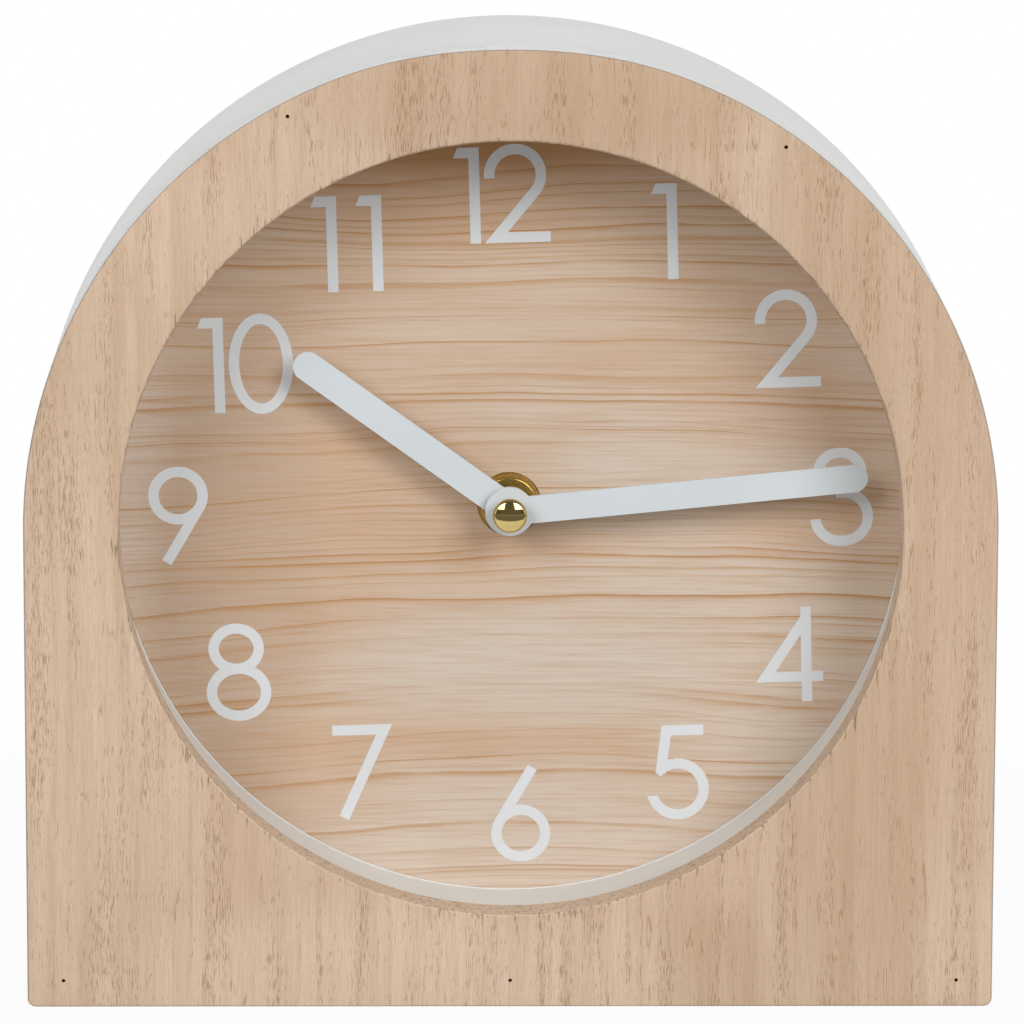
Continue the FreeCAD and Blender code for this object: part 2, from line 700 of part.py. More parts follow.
def contact_slots(body):
    """The two slots that lead the contacts from the cell's bay up into the wheel room."""
    slot = "(contact_thick + slot_clear)"
    near = f"{CONTACT_BACK} - contact_width - slot_clear - {COVER}"
    far = f"{CONTACT_BACK} + slot_clear - {COVER}"
    for name, left, right in (
        ("right_slot", f"{INNER_WALL} - {slot}", INNER_WALL),
        ("left_slot", f"-{INNER_WALL}", f"-{INNER_WALL} + {slot}"),
    ):
        window = box_corners(left, right, near, far)
        sketch = polygon(body, name, window, role="XY_Plane", offset=BAY_TOP)
        pocket(body, sketch, "shell_wall", away=True)


def make_movement_case():
    body = new_body("movement_case", y=COVER)
    floor_plane = "shell_depth - shell_floor"
    housing_shell(body)
    bush_seat(body, floor_plane)
    arbor_bosses(body, floor_plane)
    stator_and_board_posts(body, floor_plane)
    contact_slots(body)
    return body


def make_movement_cover():
    body = new_body("movement_cover", y=COVER_BACK)
    bottom = f"{ROOM_BOTTOM} + lip_clear"
    plate = box_corners(SHELL_LEFT, SHELL_RIGHT, bottom, SHELL_TOP)
    pad(body, polygon(body, "cover_plate", plate), "cover_thick")
    top = value(SHELL_TOP) - NEAR
    round_edges(body, "shell_corner", lambda edge: along_y(edge) and edge.CenterOfMass.z > top)

    edge_out = f"({INNER_WALL} - lip_clear)"
    edge_in = f"({edge_out} - lip_width)"
    lip_top = f"({ROOM_TOP} - lip_clear)"
    for name, corners in (
        ("left_lip", box_corners(f"-{edge_out}", f"-{edge_in}", BOARD_TOP, lip_top)),
        ("right_lip", box_corners(edge_in, edge_out, f"{BOARD_TOP}", lip_top)),
        ("top_lip", box_corners(f"-{edge_out}", edge_out, f"{lip_top} - lip_width", lip_top)),
    ):
        pad(body, polygon(body, name, corners, offset="cover_thick"), "lip_depth")

    for name, (place, end) in COVER_BOSSES.items():
        boss = circles(body, f"{name}_back_boss", [(*place, "boss_radius")], offset="cover_thick")
        pad(body, boss, f"{COVER} - {end}")
        end_plane = f"cover_thick + {COVER} - {end}"
        pivot = circles(body, f"{name}_back_pivot", [(*place, "arbor_radius + run_clear")], offset=end_plane)
        pocket(body, pivot, "pivot_depth + end_play")
    hole = circles(body, "knob_hole", [(*SETTING_AT, "knob_arbor_radius + run_clear")], offset="cover_thick")
    pocket(body, hole, "cover_thick")
    return body


# --- toothed wheels ----------------------------------------------------------------------------
PRESSURE_ANGLE = math.radians(value("pressure_angle"))
MANY_TEETH = 20                   # from this count on, a tooth's flanks are drawn straight


def involute(angle):
    return math.tan(angle) - angle


def gear_face(teeth, module, phase):
    """A toothed disc's outline, one tooth centred on the direction phase, in radians."""
    pitch_radius = module * teeth / 2
    base_radius = pitch_radius * math.cos(PRESSURE_ANGLE)
    tip_radius = pitch_radius + module * value("tooth_top")
    foot_radius = pitch_radius - module * value("tooth_foot")
    half_tooth = math.pi / teeth * value("tooth_share")

    def half_angle(radius):
        flank = math.acos(min(1.0, base_radius / radius))
        return half_tooth + involute(PRESSURE_ANGLE) - involute(flank)

    radii = [foot_radius, tip_radius]
    if teeth < MANY_TEETH:
        radii.insert(1, pitch_radius)
    corners = []
    for tooth in range(teeth):
        middle = phase + tooth * 2 * math.pi / teeth
        left = [(radius, middle - half_angle(radius)) for radius in radii]
        right = [(radius, middle + half_angle(radius)) for radius in reversed(radii)]
        corners += [FreeCAD.Vector(r * math.cos(a), r * math.sin(a), 0) for r, a in left + right]
    return Part.Face(Part.makePolygon(corners + corners[:1]))


def gear(teeth, module, phase, front, back):
    """A toothed disc between two depths. Its own Z axis points out of the dial."""
    face = gear_face(int(value(teeth)), value(module), phase)
    face.translate(FreeCAD.Vector(0, 0, -value(back)))
    return face.extrude(FreeCAD.Vector(0, 0, value(f"({back}) - ({front})")))


def rod(radius, front, back):
    height = value(f"({back}) - ({front})")
    return Part.makeCylinder(value(radius), height, FreeCAD.Vector(0, 0, -value(back)))


def meshing_phase(phase, teeth, other_teeth, direction):
    """The phase of a wheel whose gap faces a tooth of the wheel before it, in that direction."""
    line = math.radians(value(direction))
    step, other_step = 2 * math.pi / value(teeth), 2 * math.pi / value(other_teeth)
    return line + math.pi - other_step * (1 / 2 - (line - phase) / step)


def wheel(label, place, pieces, bore=None):
    """One moulded or turned wheel, from discs and rods on one arbor."""
    shape = pieces[0].fuse(pieces[1:]) if len(pieces) > 1 else pieces[0]
    if bore is not None:
        shape = shape.cut(bore)
    feature = doc.addObject("Part::Feature", label)
    feature.Shape = shape.removeSplitter()
    feature.Placement = FreeCAD.Placement(FreeCAD.Vector(), FreeCAD.Rotation(FreeCAD.Vector(1, 0, 0), 90))
    bind(feature, "Placement.Base.x", place[0])
    bind(feature, "Placement.Base.z", place[1])
    return feature


def pinion_span(layer):
    return f"({layer} - pinion_extra)", f"({layer} + wheel_thick + pinion_extra)"


def arbor(name, radius="arbor_radius"):
    """The arbor between its front boss and its boss in the cover."""
    place, height = FRONT_BOSSES[name]
    front = f"({FLOOR} + {height} - pivot_depth)"
    back = f"({COVER_BOSSES[name][1]} + pivot_depth)"
    return rod(radius, front, back)


MOTION_PHASE = meshing_phase(0, "minute_pinion_teeth", "motion_wheel_teeth", "motion_direction")
HOUR_PHASE = meshing_phase(0, "motion_pinion_teeth", "hour_wheel_teeth", "motion_direction + 180")
SETTING_PHASE = meshing_phase(MOTION_PHASE, "motion_wheel_teeth", "setting_teeth", "motion_direction")
FIFTH_PHASE = meshing_phase(0, "rotor_pinion_teeth", "fifth_wheel_teeth", "rotor_direction + 180")
SECOND_PHASE = meshing_phase(0, "fifth_pinion_teeth", "second_wheel_teeth", "fifth_direction + 180")
THIRD_PHASE = meshing_phase(0, "second_pinion_teeth", "third_wheel_teeth", "third_direction")
CENTRE_PHASE = meshing_phase(0, "third_pinion_teeth", "centre_wheel_teeth", "third_direction + 180")


def make_minute_pipe():
    rear = f"({LAYER_CENTRE} + wheel_thick + end_play / 2)"
    shoulder = f"({DIAL} - minute_height)"
    pieces = [
        rod("minute_pipe_radius", shoulder, rear),
        rod("thread_radius", f"{DIAL} - thread_reach", shoulder),
        gear("minute_pinion_teeth", "motion_module", 0, LAYER_MOTION, f"{LAYER_MOTION} + wheel_thick"),
    ]
    return wheel("minute_pipe", AXIS, pieces, rod("arbor_radius + run_clear", LAYER_HOUR, rear))


def make_hour_wheel():
    back = f"({LAYER_HOUR} + wheel_thick)"
    tip = f"({DIAL} - hour_pipe_reach)"
    pieces = [
        gear("hour_wheel_teeth", HOUR_MODULE, HOUR_PHASE, LAYER_HOUR, back),
        rod("hour_pipe_radius", tip, back),
    ]
    return wheel("hour_wheel", AXIS, pieces, rod("minute_pipe_radius + run_clear", tip, back))


def make_motion_wheel():
    back = f"({LAYER_MOTION} + wheel_thick)"
    pieces = [
        gear("motion_wheel_teeth", "motion_module", MOTION_PHASE, LAYER_MOTION, back),
        gear("motion_pinion_teeth", HOUR_MODULE, 0, LAYER_HOUR, LAYER_MOTION),
    ]
    return wheel("motion_wheel", MOTION_AT, pieces, rod("motion_post_radius + run_clear", LAYER_HOUR, back))


def make_setting_gear():
    place, height = FRONT_BOSSES["setting"]
    front, back = pinion_span(LAYER_MOTION)
    knob_front = f"({COVER_BACK} + knob_gap)"
    pieces = [
        gear("setting_teeth", "motion_module", SETTING_PHASE, front, back),
        rod("arbor_radius", f"{FLOOR} + {height} - pivot_depth", front),
        rod("knob_arbor_radius", back, f"{knob_front} + knob_seat"),
    ]
    return wheel("setting_gear", place, pieces)


def make_centre_wheel():
    back = f"({LAYER_CENTRE} + wheel_thick)"
    disc = gear("centre_wheel_teeth", CENTRE_MODULE, CENTRE_PHASE, LAYER_CENTRE, back)
    return wheel("centre_wheel", AXIS, [disc], rod("minute_pipe_radius + run_clear", LAYER_CENTRE, back))


def make_third_wheel():
    back = f"({LAYER_THIRD} + wheel_thick)"
    pieces = [
        gear("third_wheel_teeth", "train_module", THIRD_PHASE, LAYER_THIRD, back),
        gear("third_pinion_teeth", CENTRE_MODULE, 0, *pinion_span(LAYER_CENTRE)),
        arbor("third"),
    ]
    return wheel("third_wheel", THIRD_AT, pieces)


def make_second_wheel():
    back = f"({LAYER_SECOND} + wheel_thick)"
    pieces = [
        gear("second_wheel_teeth", "train_module", SECOND_PHASE, LAYER_SECOND, back),
        gear("second_pinion_teeth", "train_module", 0, back, pinion_span(LAYER_THIRD)[1]),
        rod("arbor_radius", f"{LAYER_HOUR} + end_play", f"{THIRD_BOSS_END} + pivot_depth"),
    ]
    return wheel("second_wheel", AXIS, pieces)


def make_fifth_wheel():
    back = f"({LAYER_FIFTH} + wheel_thick)"
    pieces = [
        gear("fifth_wheel_teeth", "rotor_module", FIFTH_PHASE, LAYER_FIFTH, back),
        gear("fifth_pinion_teeth", "train_module", 0, *pinion_span(LAYER_SECOND)),
        arbor("fifth"),
    ]
    return wheel("fifth_wheel", FIFTH_AT, pieces)


def make_rotor():
    pieces = [gear("rotor_pinion_teeth", "rotor_module", 0, *pinion_span(LAYER_FIFTH)), arbor("rotor")]
    return wheel("rotor", ROTOR_AT, pieces)


def make_rotor_magnet():
    back = f"({MAGNET_FRONT} + magnet_thick)"
    disc = rod("magnet_radius", MAGNET_FRONT, back)
    return wheel("rotor_magnet", ROTOR_AT, [disc], rod("arbor_radius + seat_clear", MAGNET_FRONT, back))


# --- step motor --------------------------------------------------------------------------------
def make_stator():
    body = new_body("stator", y=f"{STATOR_FRONT} + stator_thick")
    left = f"({ARM_LEFT} - stator_arm)"
    right = f"({ARM_RIGHT} + stator_arm)"
    yoke_right = f"({ROTOR_AT[0]} + stator_hole_radius + stator_side)"
    arm_top = f"({YOKE_TOP} + stator_arm_height)"
    outline = [
        (left, YOKE_BOTTOM),
        (yoke_right, YOKE_BOTTOM),
        (yoke_right, f"{YOKE_TOP} - stator_bridge"),
        (right, f"{YOKE_TOP} - stator_bridge"),
        (right, arm_top),
        (ARM_RIGHT, arm_top),
        (ARM_RIGHT, YOKE_TOP),
        (ARM_LEFT, YOKE_TOP),
        (ARM_LEFT, arm_top),
        (left, arm_top),
    ]
    pad(body, polygon(body, "stator_outline", outline), "stator_thick")
    pocket(body, circles(body, "stator_hole", [(*ROTOR_AT, "stator_hole_radius")]), "stator_thick", away=True)
    return body


def make_coil_core():
    body = new_body("coil_core", y=STATOR_FRONT)
    ends = (f"{ARM_LEFT} - stator_arm", f"{ARM_RIGHT} + stator_arm")
    strip = box_corners(*ends, CORE_AT, f"{CORE_AT} + core_height")
    pad(body, polygon(body, "core_outline", strip), "core_thick")
    return body


def around_core(label, outline):
    """A piece turned about the coil's core from (position along it, radius) corners."""
    depth, height = f"{STATOR_FRONT} - core_thick / 2", f"{CORE_AT} + core_height / 2"
    body = new_body(label, x=COIL_MIDDLE, y=depth, z=height)
    revolve(body, polygon(body, f"{label}_profile", outline, role="XY_Plane"), role="X_Axis")
    return body


def make_coil_bobbin():
    end = f"({COIL_LENGTH} / 2 - slot_clear)"
    inner = f"({end} - bobbin_flange)"
    outline = [
        (f"-{end}", "bobbin_bore_radius"),
        (end, "bobbin_bore_radius"),
        (end, "bobbin_radius"),
        (inner, "bobbin_radius"),
        (inner, "bobbin_tube_radius"),
        (f"-{inner}", "bobbin_tube_radius"),
        (f"-{inner}", "bobbin_radius"),
        (f"-{end}", "bobbin_radius"),
    ]
    return around_core("coil_bobbin", outline)


def make_coil_winding():
    half = f"({COIL_LENGTH} / 2 - slot_clear - bobbin_flange - seat_clear)"
    outline = box_corners(f"-{half}", half, "bobbin_tube_radius + seat_clear", "coil_radius")
    return around_core("coil_winding", outline)


# --- circuit board -----------------------------------------------------------------------------
def make_circuit_board():
    body = new_body("circuit_board", y=f"{BOARD_FRONT} + board_thick")
    corners = box_corners(BOARD_LEFT, BOARD_RIGHT, BOARD_BOTTOM, BOARD_TOP)
    pad(body, polygon(body, "board_outline", corners), "board_thick")
    return body


def make_quartz_crystal():
    crystal = doc.addObject("Part::Cylinder", "quartz_crystal")
    bind(crystal, "Radius", "crystal_radius")
    bind(crystal, "Height", "crystal_length")
    bind(crystal, "Placement.Base.x", f"{BOARD_RIGHT} - crystal_inset")
    bind(crystal, "Placement.Base.y", f"{BOARD_FRONT} + board_thick + crystal_radius")
    bind(crystal, "Placement.Base.z", f"{BOARD_BOTTOM} + crystal_rise")
    return crystal


def make_chip():
    chip = doc.addObject("Part::Cone", "timing_chip")
    chip.Placement = FreeCAD.Placement(FreeCAD.Vector(), FreeCAD.Rotation(FreeCAD.Vector(1, 0, 0), -90))
    bind(chip, "Radius1", "chip_radius")
    bind(chip, "Radius2", "chip_radius - chip_height")
    bind(chip, "Height", "chip_height")
    bind(chip, "Placement.Base.x", f"{BOARD_RIGHT} - crystal_inset")
    bind(chip, "Placement.Base.y", f"{BOARD_FRONT} + board_thick")
    bind(chip, "Placement.Base.z", f"{BOARD_BOTTOM} + chip_rise")
    return chip


# --- setting knob ------------------------------------------------------------------------------
def make_setting_knob():
    back = f"{COVER_BACK} + knob_gap + knob_thick"
    body = new_body("setting_knob", x=SETTING_AT[0], y=back, z=SETTING_AT[1])
    pad(body, circles(body, "knob_disc", [("0", "0", "knob_radius")]), "knob_thick")
    notch = [
        ("0", "knob_radius - grip_depth"),
        ("grip_width / 2", "knob_radius + grip_depth"),
        ("-grip_width / 2", "knob_radius + grip_depth"),
    ]
    groove = polygon(body, "knob_grip", notch)
    cut = pocket(body, groove, "knob_thick", away=True)
    pattern = body.newObject("PartDesign::PolarPattern", "knob_grips")
    pattern.Originals = [cut]
    pattern.Axis = (origin_plane(body, "Y_Axis"), [""])
    pattern.Angle = FULL_TURN
    bind(pattern, "Occurrences", "knob_grips")
    body.Tip = pattern
    checked_volume(body, pattern)
    hole = [("0", "0", "knob_arbor_radius + seat_clear")]
    seat = circles(body, "knob_seat_hole", hole, offset="knob_thick")
    pocket(body, seat, "knob_seat + seat_clear")
    return body


# --- cell and contacts -------------------------------------------------------------------------
NUB_END = f"({INNER_WALL} - contact_thick - touch_gap)"
CELL_RIGHT = f"({NUB_END} - cell_nub_length)"
CELL_LEFT = f"({CELL_RIGHT} - cell_length)"
CONTACT_TOP = f"({ROOM_BOTTOM} + contact_rise)"


def make_battery():
    body = new_body("battery", y=CELL_DEPTH, z=CELL_HEIGHT)
    shoulder = "(cell_radius - cell_edge)"
    outline = [
        (CELL_LEFT, "0"),
        (CELL_LEFT, shoulder),
        (f"{CELL_LEFT} + cell_edge", "cell_radius"),
        (f"{CELL_RIGHT} - cell_edge", "cell_radius"),
        (CELL_RIGHT, shoulder),
        (CELL_RIGHT, "cell_nub_radius"),
        (NUB_END, "cell_nub_radius"),
        (NUB_END, "0"),
    ]
    revolve(body, polygon(body, "cell_profile", outline, role="XY_Plane"), role="X_Axis")
    return body


def make_positive_contact():
    body = new_body("positive_contact", y=CONTACT_BACK)
    inner = f"{INNER_WALL} - contact_thick"
    strip = box_corners(inner, INNER_WALL, f"{CELL_HEIGHT} - leaf_reach", CONTACT_TOP)
    pad(body, polygon(body, "positive_strip", strip), "contact_width")
    return body


def make_negative_contact():
    """A leaf bent out to the cell's flat end, and a rail along the bay's wall to the board."""
    body = new_body("negative_contact", y=CONTACT_BACK)
    wall, bent = f"-{INNER_WALL}", f"({CELL_LEFT} - touch_gap - contact_thick)"
    low, high = f"({CELL_HEIGHT} - leaf_reach)", f"({CELL_HEIGHT} + leaf_reach)"
    leaf = [
        (wall, low),
        (f"{wall} + contact_thick", low),
        (f"{bent} + contact_thick", CELL_HEIGHT),
        (f"{wall} + contact_thick", high),
        (f"{wall} + contact_thick", CONTACT_TOP),
        (wall, CONTACT_TOP),
        (wall, high),
        (bent, CELL_HEIGHT),
    ]
    pad(body, polygon(body, "negative_leaf", leaf), "contact_width")
    rail_bottom = f"({ROOM_BOTTOM} + slot_clear)"
    rail_top = f"({rail_bottom} + contact_thick)"
    rail_end = f"({BOARD_LEFT} - bus_gap)"
    depth = f"({CONTACT_BACK} - {BOARD_FRONT})"
    tab = box_corners(wall, f"{wall} + contact_thick", rail_bottom, CONTACT_TOP)
    pad(body, polygon(body, "negative_tab", tab), depth)
    rail = [
        (wall, rail_bottom),
        (rail_end, rail_bottom),
        (rail_end, CONTACT_TOP),
        (f"{rail_end} - contact_thick", CONTACT_TOP),
        (f"{rail_end} - contact_thick", rail_top),
        (wall, rail_top),
    ]
    plane = f"{depth} - bus_width"
    pad(body, polygon(body, "negative_rail", rail, offset=plane), "bus_width")
    return body


# --- build, check and write --------------------------------------------------------------------
MAKERS = [
    make_face_panel,
    make_case_body,
    make_face_brads,
    make_dial_board,
    make_rubber_washer,
    make_plain_washer,
    make_ring_nut,
    make_threaded_bush,
    make_cap_nut,
    make_hour_hand,
    make_minute_hand,
    make_movement_case,
    make_movement_cover,
    make_minute_pipe,
    make_hour_wheel,
    make_motion_wheel,
    make_setting_gear,
    make_setting_knob,
    make_centre_wheel,
    make_third_wheel,
    make_second_wheel,
    make_fifth_wheel,
    make_rotor,
    make_rotor_magnet,
    make_stator,
    make_coil_core,
    make_coil_bobbin,
    make_coil_winding,
    make_circuit_board,
    make_quartz_crystal,
    make_chip,
    make_battery,
    make_positive_contact,
    make_negative_contact,
]
pieces = [make() for make in MAKERS]
doc.recompute()
for item in doc.Objects:
    if "Invalid" in item.State or "Error" in item.State:
        raise RuntimeError(f"{item.Label} is {item.State}")
for piece in pieces:
    if piece.Shape.isNull() or not piece.Shape.isValid():
        raise RuntimeError(f"{piece.Label} has no valid shape")

os.makedirs("parts", exist_ok=True)
for piece in pieces:
    piece.Shape.exportStep(os.path.join("parts", f"{piece.Label}.step"))
    solids = len(piece.Shape.Solids)
    print(f"{piece.Label}: {solids} solid(s), {piece.Shape.Volume:.1f} cubic mm")
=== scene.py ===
import math

import bmesh
import bpy
from bmesh.types import BMEdge, BMFace, BMVert
from mathutils import Matrix, Vector


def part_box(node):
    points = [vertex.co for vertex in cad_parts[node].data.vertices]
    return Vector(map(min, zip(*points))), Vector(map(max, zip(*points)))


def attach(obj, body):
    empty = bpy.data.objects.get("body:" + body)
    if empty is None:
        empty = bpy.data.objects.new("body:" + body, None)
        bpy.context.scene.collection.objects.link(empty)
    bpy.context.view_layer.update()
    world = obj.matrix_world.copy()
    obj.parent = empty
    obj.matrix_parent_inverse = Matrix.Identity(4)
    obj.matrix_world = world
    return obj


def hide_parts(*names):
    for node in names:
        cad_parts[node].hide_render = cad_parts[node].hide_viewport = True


bl_info = {
    "name": "Arch table clock",
    "version": (1, 0, 0),
    "blender": (4, 5, 0),
    "location": "View3D > Sidebar > Clock",
    "description": "Dresses an arch-shaped wooden table clock and sets it in a plain studio",
    "category": "Object",
}

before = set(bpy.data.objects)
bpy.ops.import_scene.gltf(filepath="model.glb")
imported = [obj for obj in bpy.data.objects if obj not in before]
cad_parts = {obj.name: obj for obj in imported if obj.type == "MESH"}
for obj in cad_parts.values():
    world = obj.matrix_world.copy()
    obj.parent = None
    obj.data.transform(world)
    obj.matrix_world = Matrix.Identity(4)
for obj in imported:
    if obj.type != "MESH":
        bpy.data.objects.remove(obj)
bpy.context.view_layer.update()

# Everything is in metres in the clock's own frame: +Z up, the dial faces -Y, the origin at the
# middle of the base. Drawings of pieces are in millimetres, in the plane of the dial.
MM = 0.001
LOOP = 256          # edges in each outline of the case, so that any two of them can be joined
FOOT_STEPS = 4
CORNER_STEPS = 8
EDGE_STEPS = 4      # in a rounded edge
MOUTH_STEPS = 16    # edges round the mouth over a brad
TURN_STEPS = 128    # edges round a turned piece
RING_STEPS = 96     # edges round a ring of a figure
SHARP_ANGLE = 35    # from which an edge looks sharp, in degrees
UPRIGHT = Matrix.Rotation(math.pi / 2, 3, "X")

FACE_LOW, FACE_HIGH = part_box("face_panel")
CASE_LOW, CASE_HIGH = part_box("case_body")
DIAL_LOW, DIAL_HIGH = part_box("dial_board")
HALF_WIDTH = CASE_HIGH.x
SIDE_HEIGHT = CASE_HIGH.z - HALF_WIDTH
CENTRE = Vector((0, 0, SIDE_HEIGHT))
BRAD_ANGLES = (118, 55)     # of the brads round the arch, anticlockwise from +X, in degrees

# The brass cap and the round nut, in millimetres and degrees.
CAP_REACH = 6.2         # length
CAP_BORE = 1.27         # radius of its blind bore
CAP_BORE_DEPTH = 4.0
CAP_NECK = 2.17         # radius
CAP_NECK_LENGTH = 2.3
CAP_DRAFT = 13          # of its skirt
CAP_BRIM = 1.0          # radius of the rounded brim between skirt and dome
CAP_SLOPE = 21          # of the dome at the brim
NUT_BORE = 4.03         # radius
NUT_FOOT_EDGE = 0.12    # rounding of the edge on the washer
NUT_RIM = 0.38          # height of its upright rim
NUT_LEAN = 22           # of the cone over the rim
NUT_CONE = 1.42         # length of the cone's side
NUT_EDGE = 0.5          # radius of the rounded edge at the cone's end
NUT_EDGE_SWEEP = 52


# --- properties ---
def length(name, description, default):
    return bpy.props.FloatProperty(
        name=name, description=description, default=default, min=0, unit="LENGTH", precision=5
    )


def colour(name, description, default):
    return bpy.props.FloatVectorProperty(
        name=name, description=description, default=default, min=0, max=1, subtype="COLOR"
    )


class ClockSizes(bpy.types.PropertyGroup):
    hole_radius: length("Hole", "Radius of the hole in the wooden face", 0.0805)
    bore_radius: length("Bore", "Radius of the bore behind the face", 0.083)
    face_edge: length("Face edge", "Rounding of the wooden face's front edges", 0.0005)
    case_edge: length("Case edge", "Rounding of the case's back edge", 0.0008)
    foot_radius: length("Foot", "Rounding of the two bottom corners", 0.0017)
    pocket_width: length("Pocket", "Width of the square pocket at the back", 0.064)
    pocket_corner: length("Pocket corner", "Rounding of the pocket's corners", 0.005)
    brad_hole: length("Brad hole", "Width of the square holes of the brads", 0.00114)
    brad_height: length("Brad height", "Height of the brads along the foot", 0.0056)
    brad_inset: length("Brad inset", "From the case's sides to the brads at the foot", 0.0075)
    brad_rim: length("Brad rim", "From the edge of the arch to its two brads", 0.003)
    brad_mouth: length("Brad mouth", "Radius of the round mouths over the brads", 0.0004)
    paint_creep: length("Paint creep", "Reach of the side's paint over the top of the face", 0.0008)
    seat_gap: length("Seat gap", "Gap round the dial in the bore", 0.00005)
    print_thick: length("Print", "Thickness of the printed numerals", 0.00006)


class ClockColours(bpy.types.PropertyGroup):
    # The pale and the dark colour of the face also paint light and shade over broad patches of it.
    face_pale: colour("Face, pale", "Pale patches of the wooden face", (0.79, 0.625, 0.475))
    face_light: colour("Face, light", "Palest streaks of the wooden face", (0.69, 0.52, 0.38))
    face_mid: colour("Face, middle", "Main colour of the wooden face", (0.62, 0.445, 0.31))
    face_dark: colour("Face, dark", "Darker streaks of the wooden face", (0.45, 0.29, 0.175))
    face_pore: colour("Face, pores", "Short pores of the wooden face", (0.36, 0.18, 0.085))
    face_split: colour("Face, splits", "Splits in the grain round the hole", (0.16, 0.085, 0.05))
    dial_light: colour("Dial, light", "Pale early wood of the dial", (0.63, 0.49, 0.375))
    dial_mid: colour("Dial, middle", "Main colour of the dial", (0.60, 0.439, 0.317))
    # This colour also paints shade on the dial: under the top of the rim, along the left wall and
    # below the hub and the minute hand.
    dial_heart_and_shade: colour("Dial, heartwood", "Warm darker patches of the dial", (0.575, 0.345, 0.205))
    # This colour also paints the shade on the dial under the top of the rim.
    dial_dark: colour("Dial, lines", "Growth lines of the dial", (0.45, 0.225, 0.07))
    # This colour also paints the light bounced from the white bore onto the dial's left and right
    # rims.
    dial_pale: colour("Dial, pale", "Pale patches of the dial", (0.655, 0.58, 0.505))
    # Painted shade: this colour darkens the dial along its left side, in the shadow of the recess
    # wall.
    dial_wall_shade: colour("Dial, dull", "Dull patches of the dial", (0.36, 0.28, 0.235))
    paint: colour("Case paint", "White paint of the case", (0.80, 0.81, 0.795))
    ink: colour("Numerals", "White print of the numerals", (0.71, 0.733, 0.752))
    hands: colour("Hands", "White paint of the hands", (0.66, 0.71, 0.735))
    brass: colour("Brass", "Polished brass of the cap", (0.64, 0.51, 0.20))
    nut_brass: colour("Nut brass", "Lacquered brass of the nut and washer", (0.50, 0.345, 0.085))


# --- drawing ---
def of_kind(geometry, kind):
    return [item for item in geometry if isinstance(item, kind)]


class Pen:
    """Draws in a plane, x to the right and z up, with bmesh operators. A nib without width
    leaves a line of edges, and one with width leaves a ribbon of faces."""

    def __init__(self, bm, at, heading, width=0.0, slant=0.0):
        self.bm, self.heading, self.width = bm, math.radians(heading), width
        self.at = Vector((at[0], 0, at[1]))
        sides = (1, -1) if width else (0,)
        self.nib = [bm.verts.new(self.at) for side in sides]
        self.edges = [bm.edges.new(self.nib)] if width else []
        self.place_nib(math.radians(slant))

    def along(self, turned=0.0):
        angle = self.heading + turned
        return Vector((math.cos(angle), 0, math.sin(angle)))

    def place_nib(self, slant=0.0):
        if self.width:
            reach = self.along(math.pi / 2 + slant) * self.width / 2 / math.cos(slant)
            self.nib[0].co, self.nib[1].co = self.at + reach, self.at - reach

    def follow(self, geometry):
        """Takes up the geometry that an operator made as the new nib."""
        verts, self.edges = of_kind(geometry, BMVert), of_kind(geometry, BMEdge)
        if self.width:
            self.edges = [edge for edge in self.edges if all(vert in verts for vert in edge.verts)]
            side = self.along(math.pi / 2)
            verts.sort(key=lambda vert: -(vert.co - self.at).dot(side))
        self.nib = verts

    def go(self, distance, steps=1):
        for step in range(steps):
            shift = self.along() * distance / steps
            if self.width:
                grown = bmesh.ops.extrude_edge_only(self.bm, edges=self.edges)["geom"]
            else:
                grown = bmesh.ops.extrude_vert_indiv(self.bm, verts=self.nib)["verts"]
            bmesh.ops.translate(self.bm, verts=of_kind(grown, BMVert), vec=shift)
            self.at = self.at + shift
            self.follow(grown)
            self.place_nib()

    def turn(self, angle):
        """A mitred corner."""
        half = math.radians(angle) / 2
        self.place_nib(half)
        self.heading += 2 * half

    def bend(self, radius, angle, steps=24):
        """An arc, to the left if the angle is positive."""
        sweep = math.radians(angle)
        centre = self.at + self.along(math.copysign(math.pi / 2, sweep)) * radius
        turned = bmesh.ops.spin(
            self.bm, geom=self.nib + self.edges, cent=centre, axis=(0, -1, 0),
            angle=sweep, steps=steps, use_merge=False,
        )
        self.at = centre + Matrix.Rotation(sweep, 3, (0, -1, 0)) @ (self.at - centre)
        self.heading += sweep
        self.follow(turned["geom_last"])

    def draw(self, moves):
        for name, *values in moves:
            getattr(self, name)(*values)
        return self


def closed_loop(bm, start, heading, moves, depth):
    """The edges of a closed drawing, set at a depth."""
    before = set(bm.edges)
    Pen(bm, start, heading).draw(moves)
    drawn = [vert for edge in bm.edges if edge not in before for vert in edge.verts]
    bmesh.ops.remove_doubles(bm, verts=list(dict.fromkeys(drawn)), dist=1e-6)
    edges = [edge for edge in bm.edges if edge not in before]
    for edge in edges:
        for vert in edge.verts:
            vert.co.y = depth
    return edges


def arch_loop(bm, inset, depth):
    """The clock's outline, inset all round."""
    foot_radius = bpy.context.scene.clock_sizes.foot_radius
    radius, foot = HALF_WIDTH - inset, foot_radius - inset
    quarter = LOOP // 8
    side = ("go", SIDE_HEIGHT - foot_radius, quarter - FOOT_STEPS)
    corner = ("bend", foot, 90, FOOT_STEPS)
    base = ("go", 2 * (HALF_WIDTH - foot_radius), 2 * (quarter - FOOT_STEPS))
    moves = [("bend", radius, 180, LOOP // 2), side, corner, base, corner, side]
    return closed_loop(bm, (radius, SIDE_HEIGHT), 90, moves, depth)


def circle_loop(bm, radius, depth, middle=CENTRE, steps=LOOP):
    start, turn = (middle.x + radius, middle.z), ("bend", radius, 360, steps)
    return closed_loop(bm, start, 90, [turn], depth)


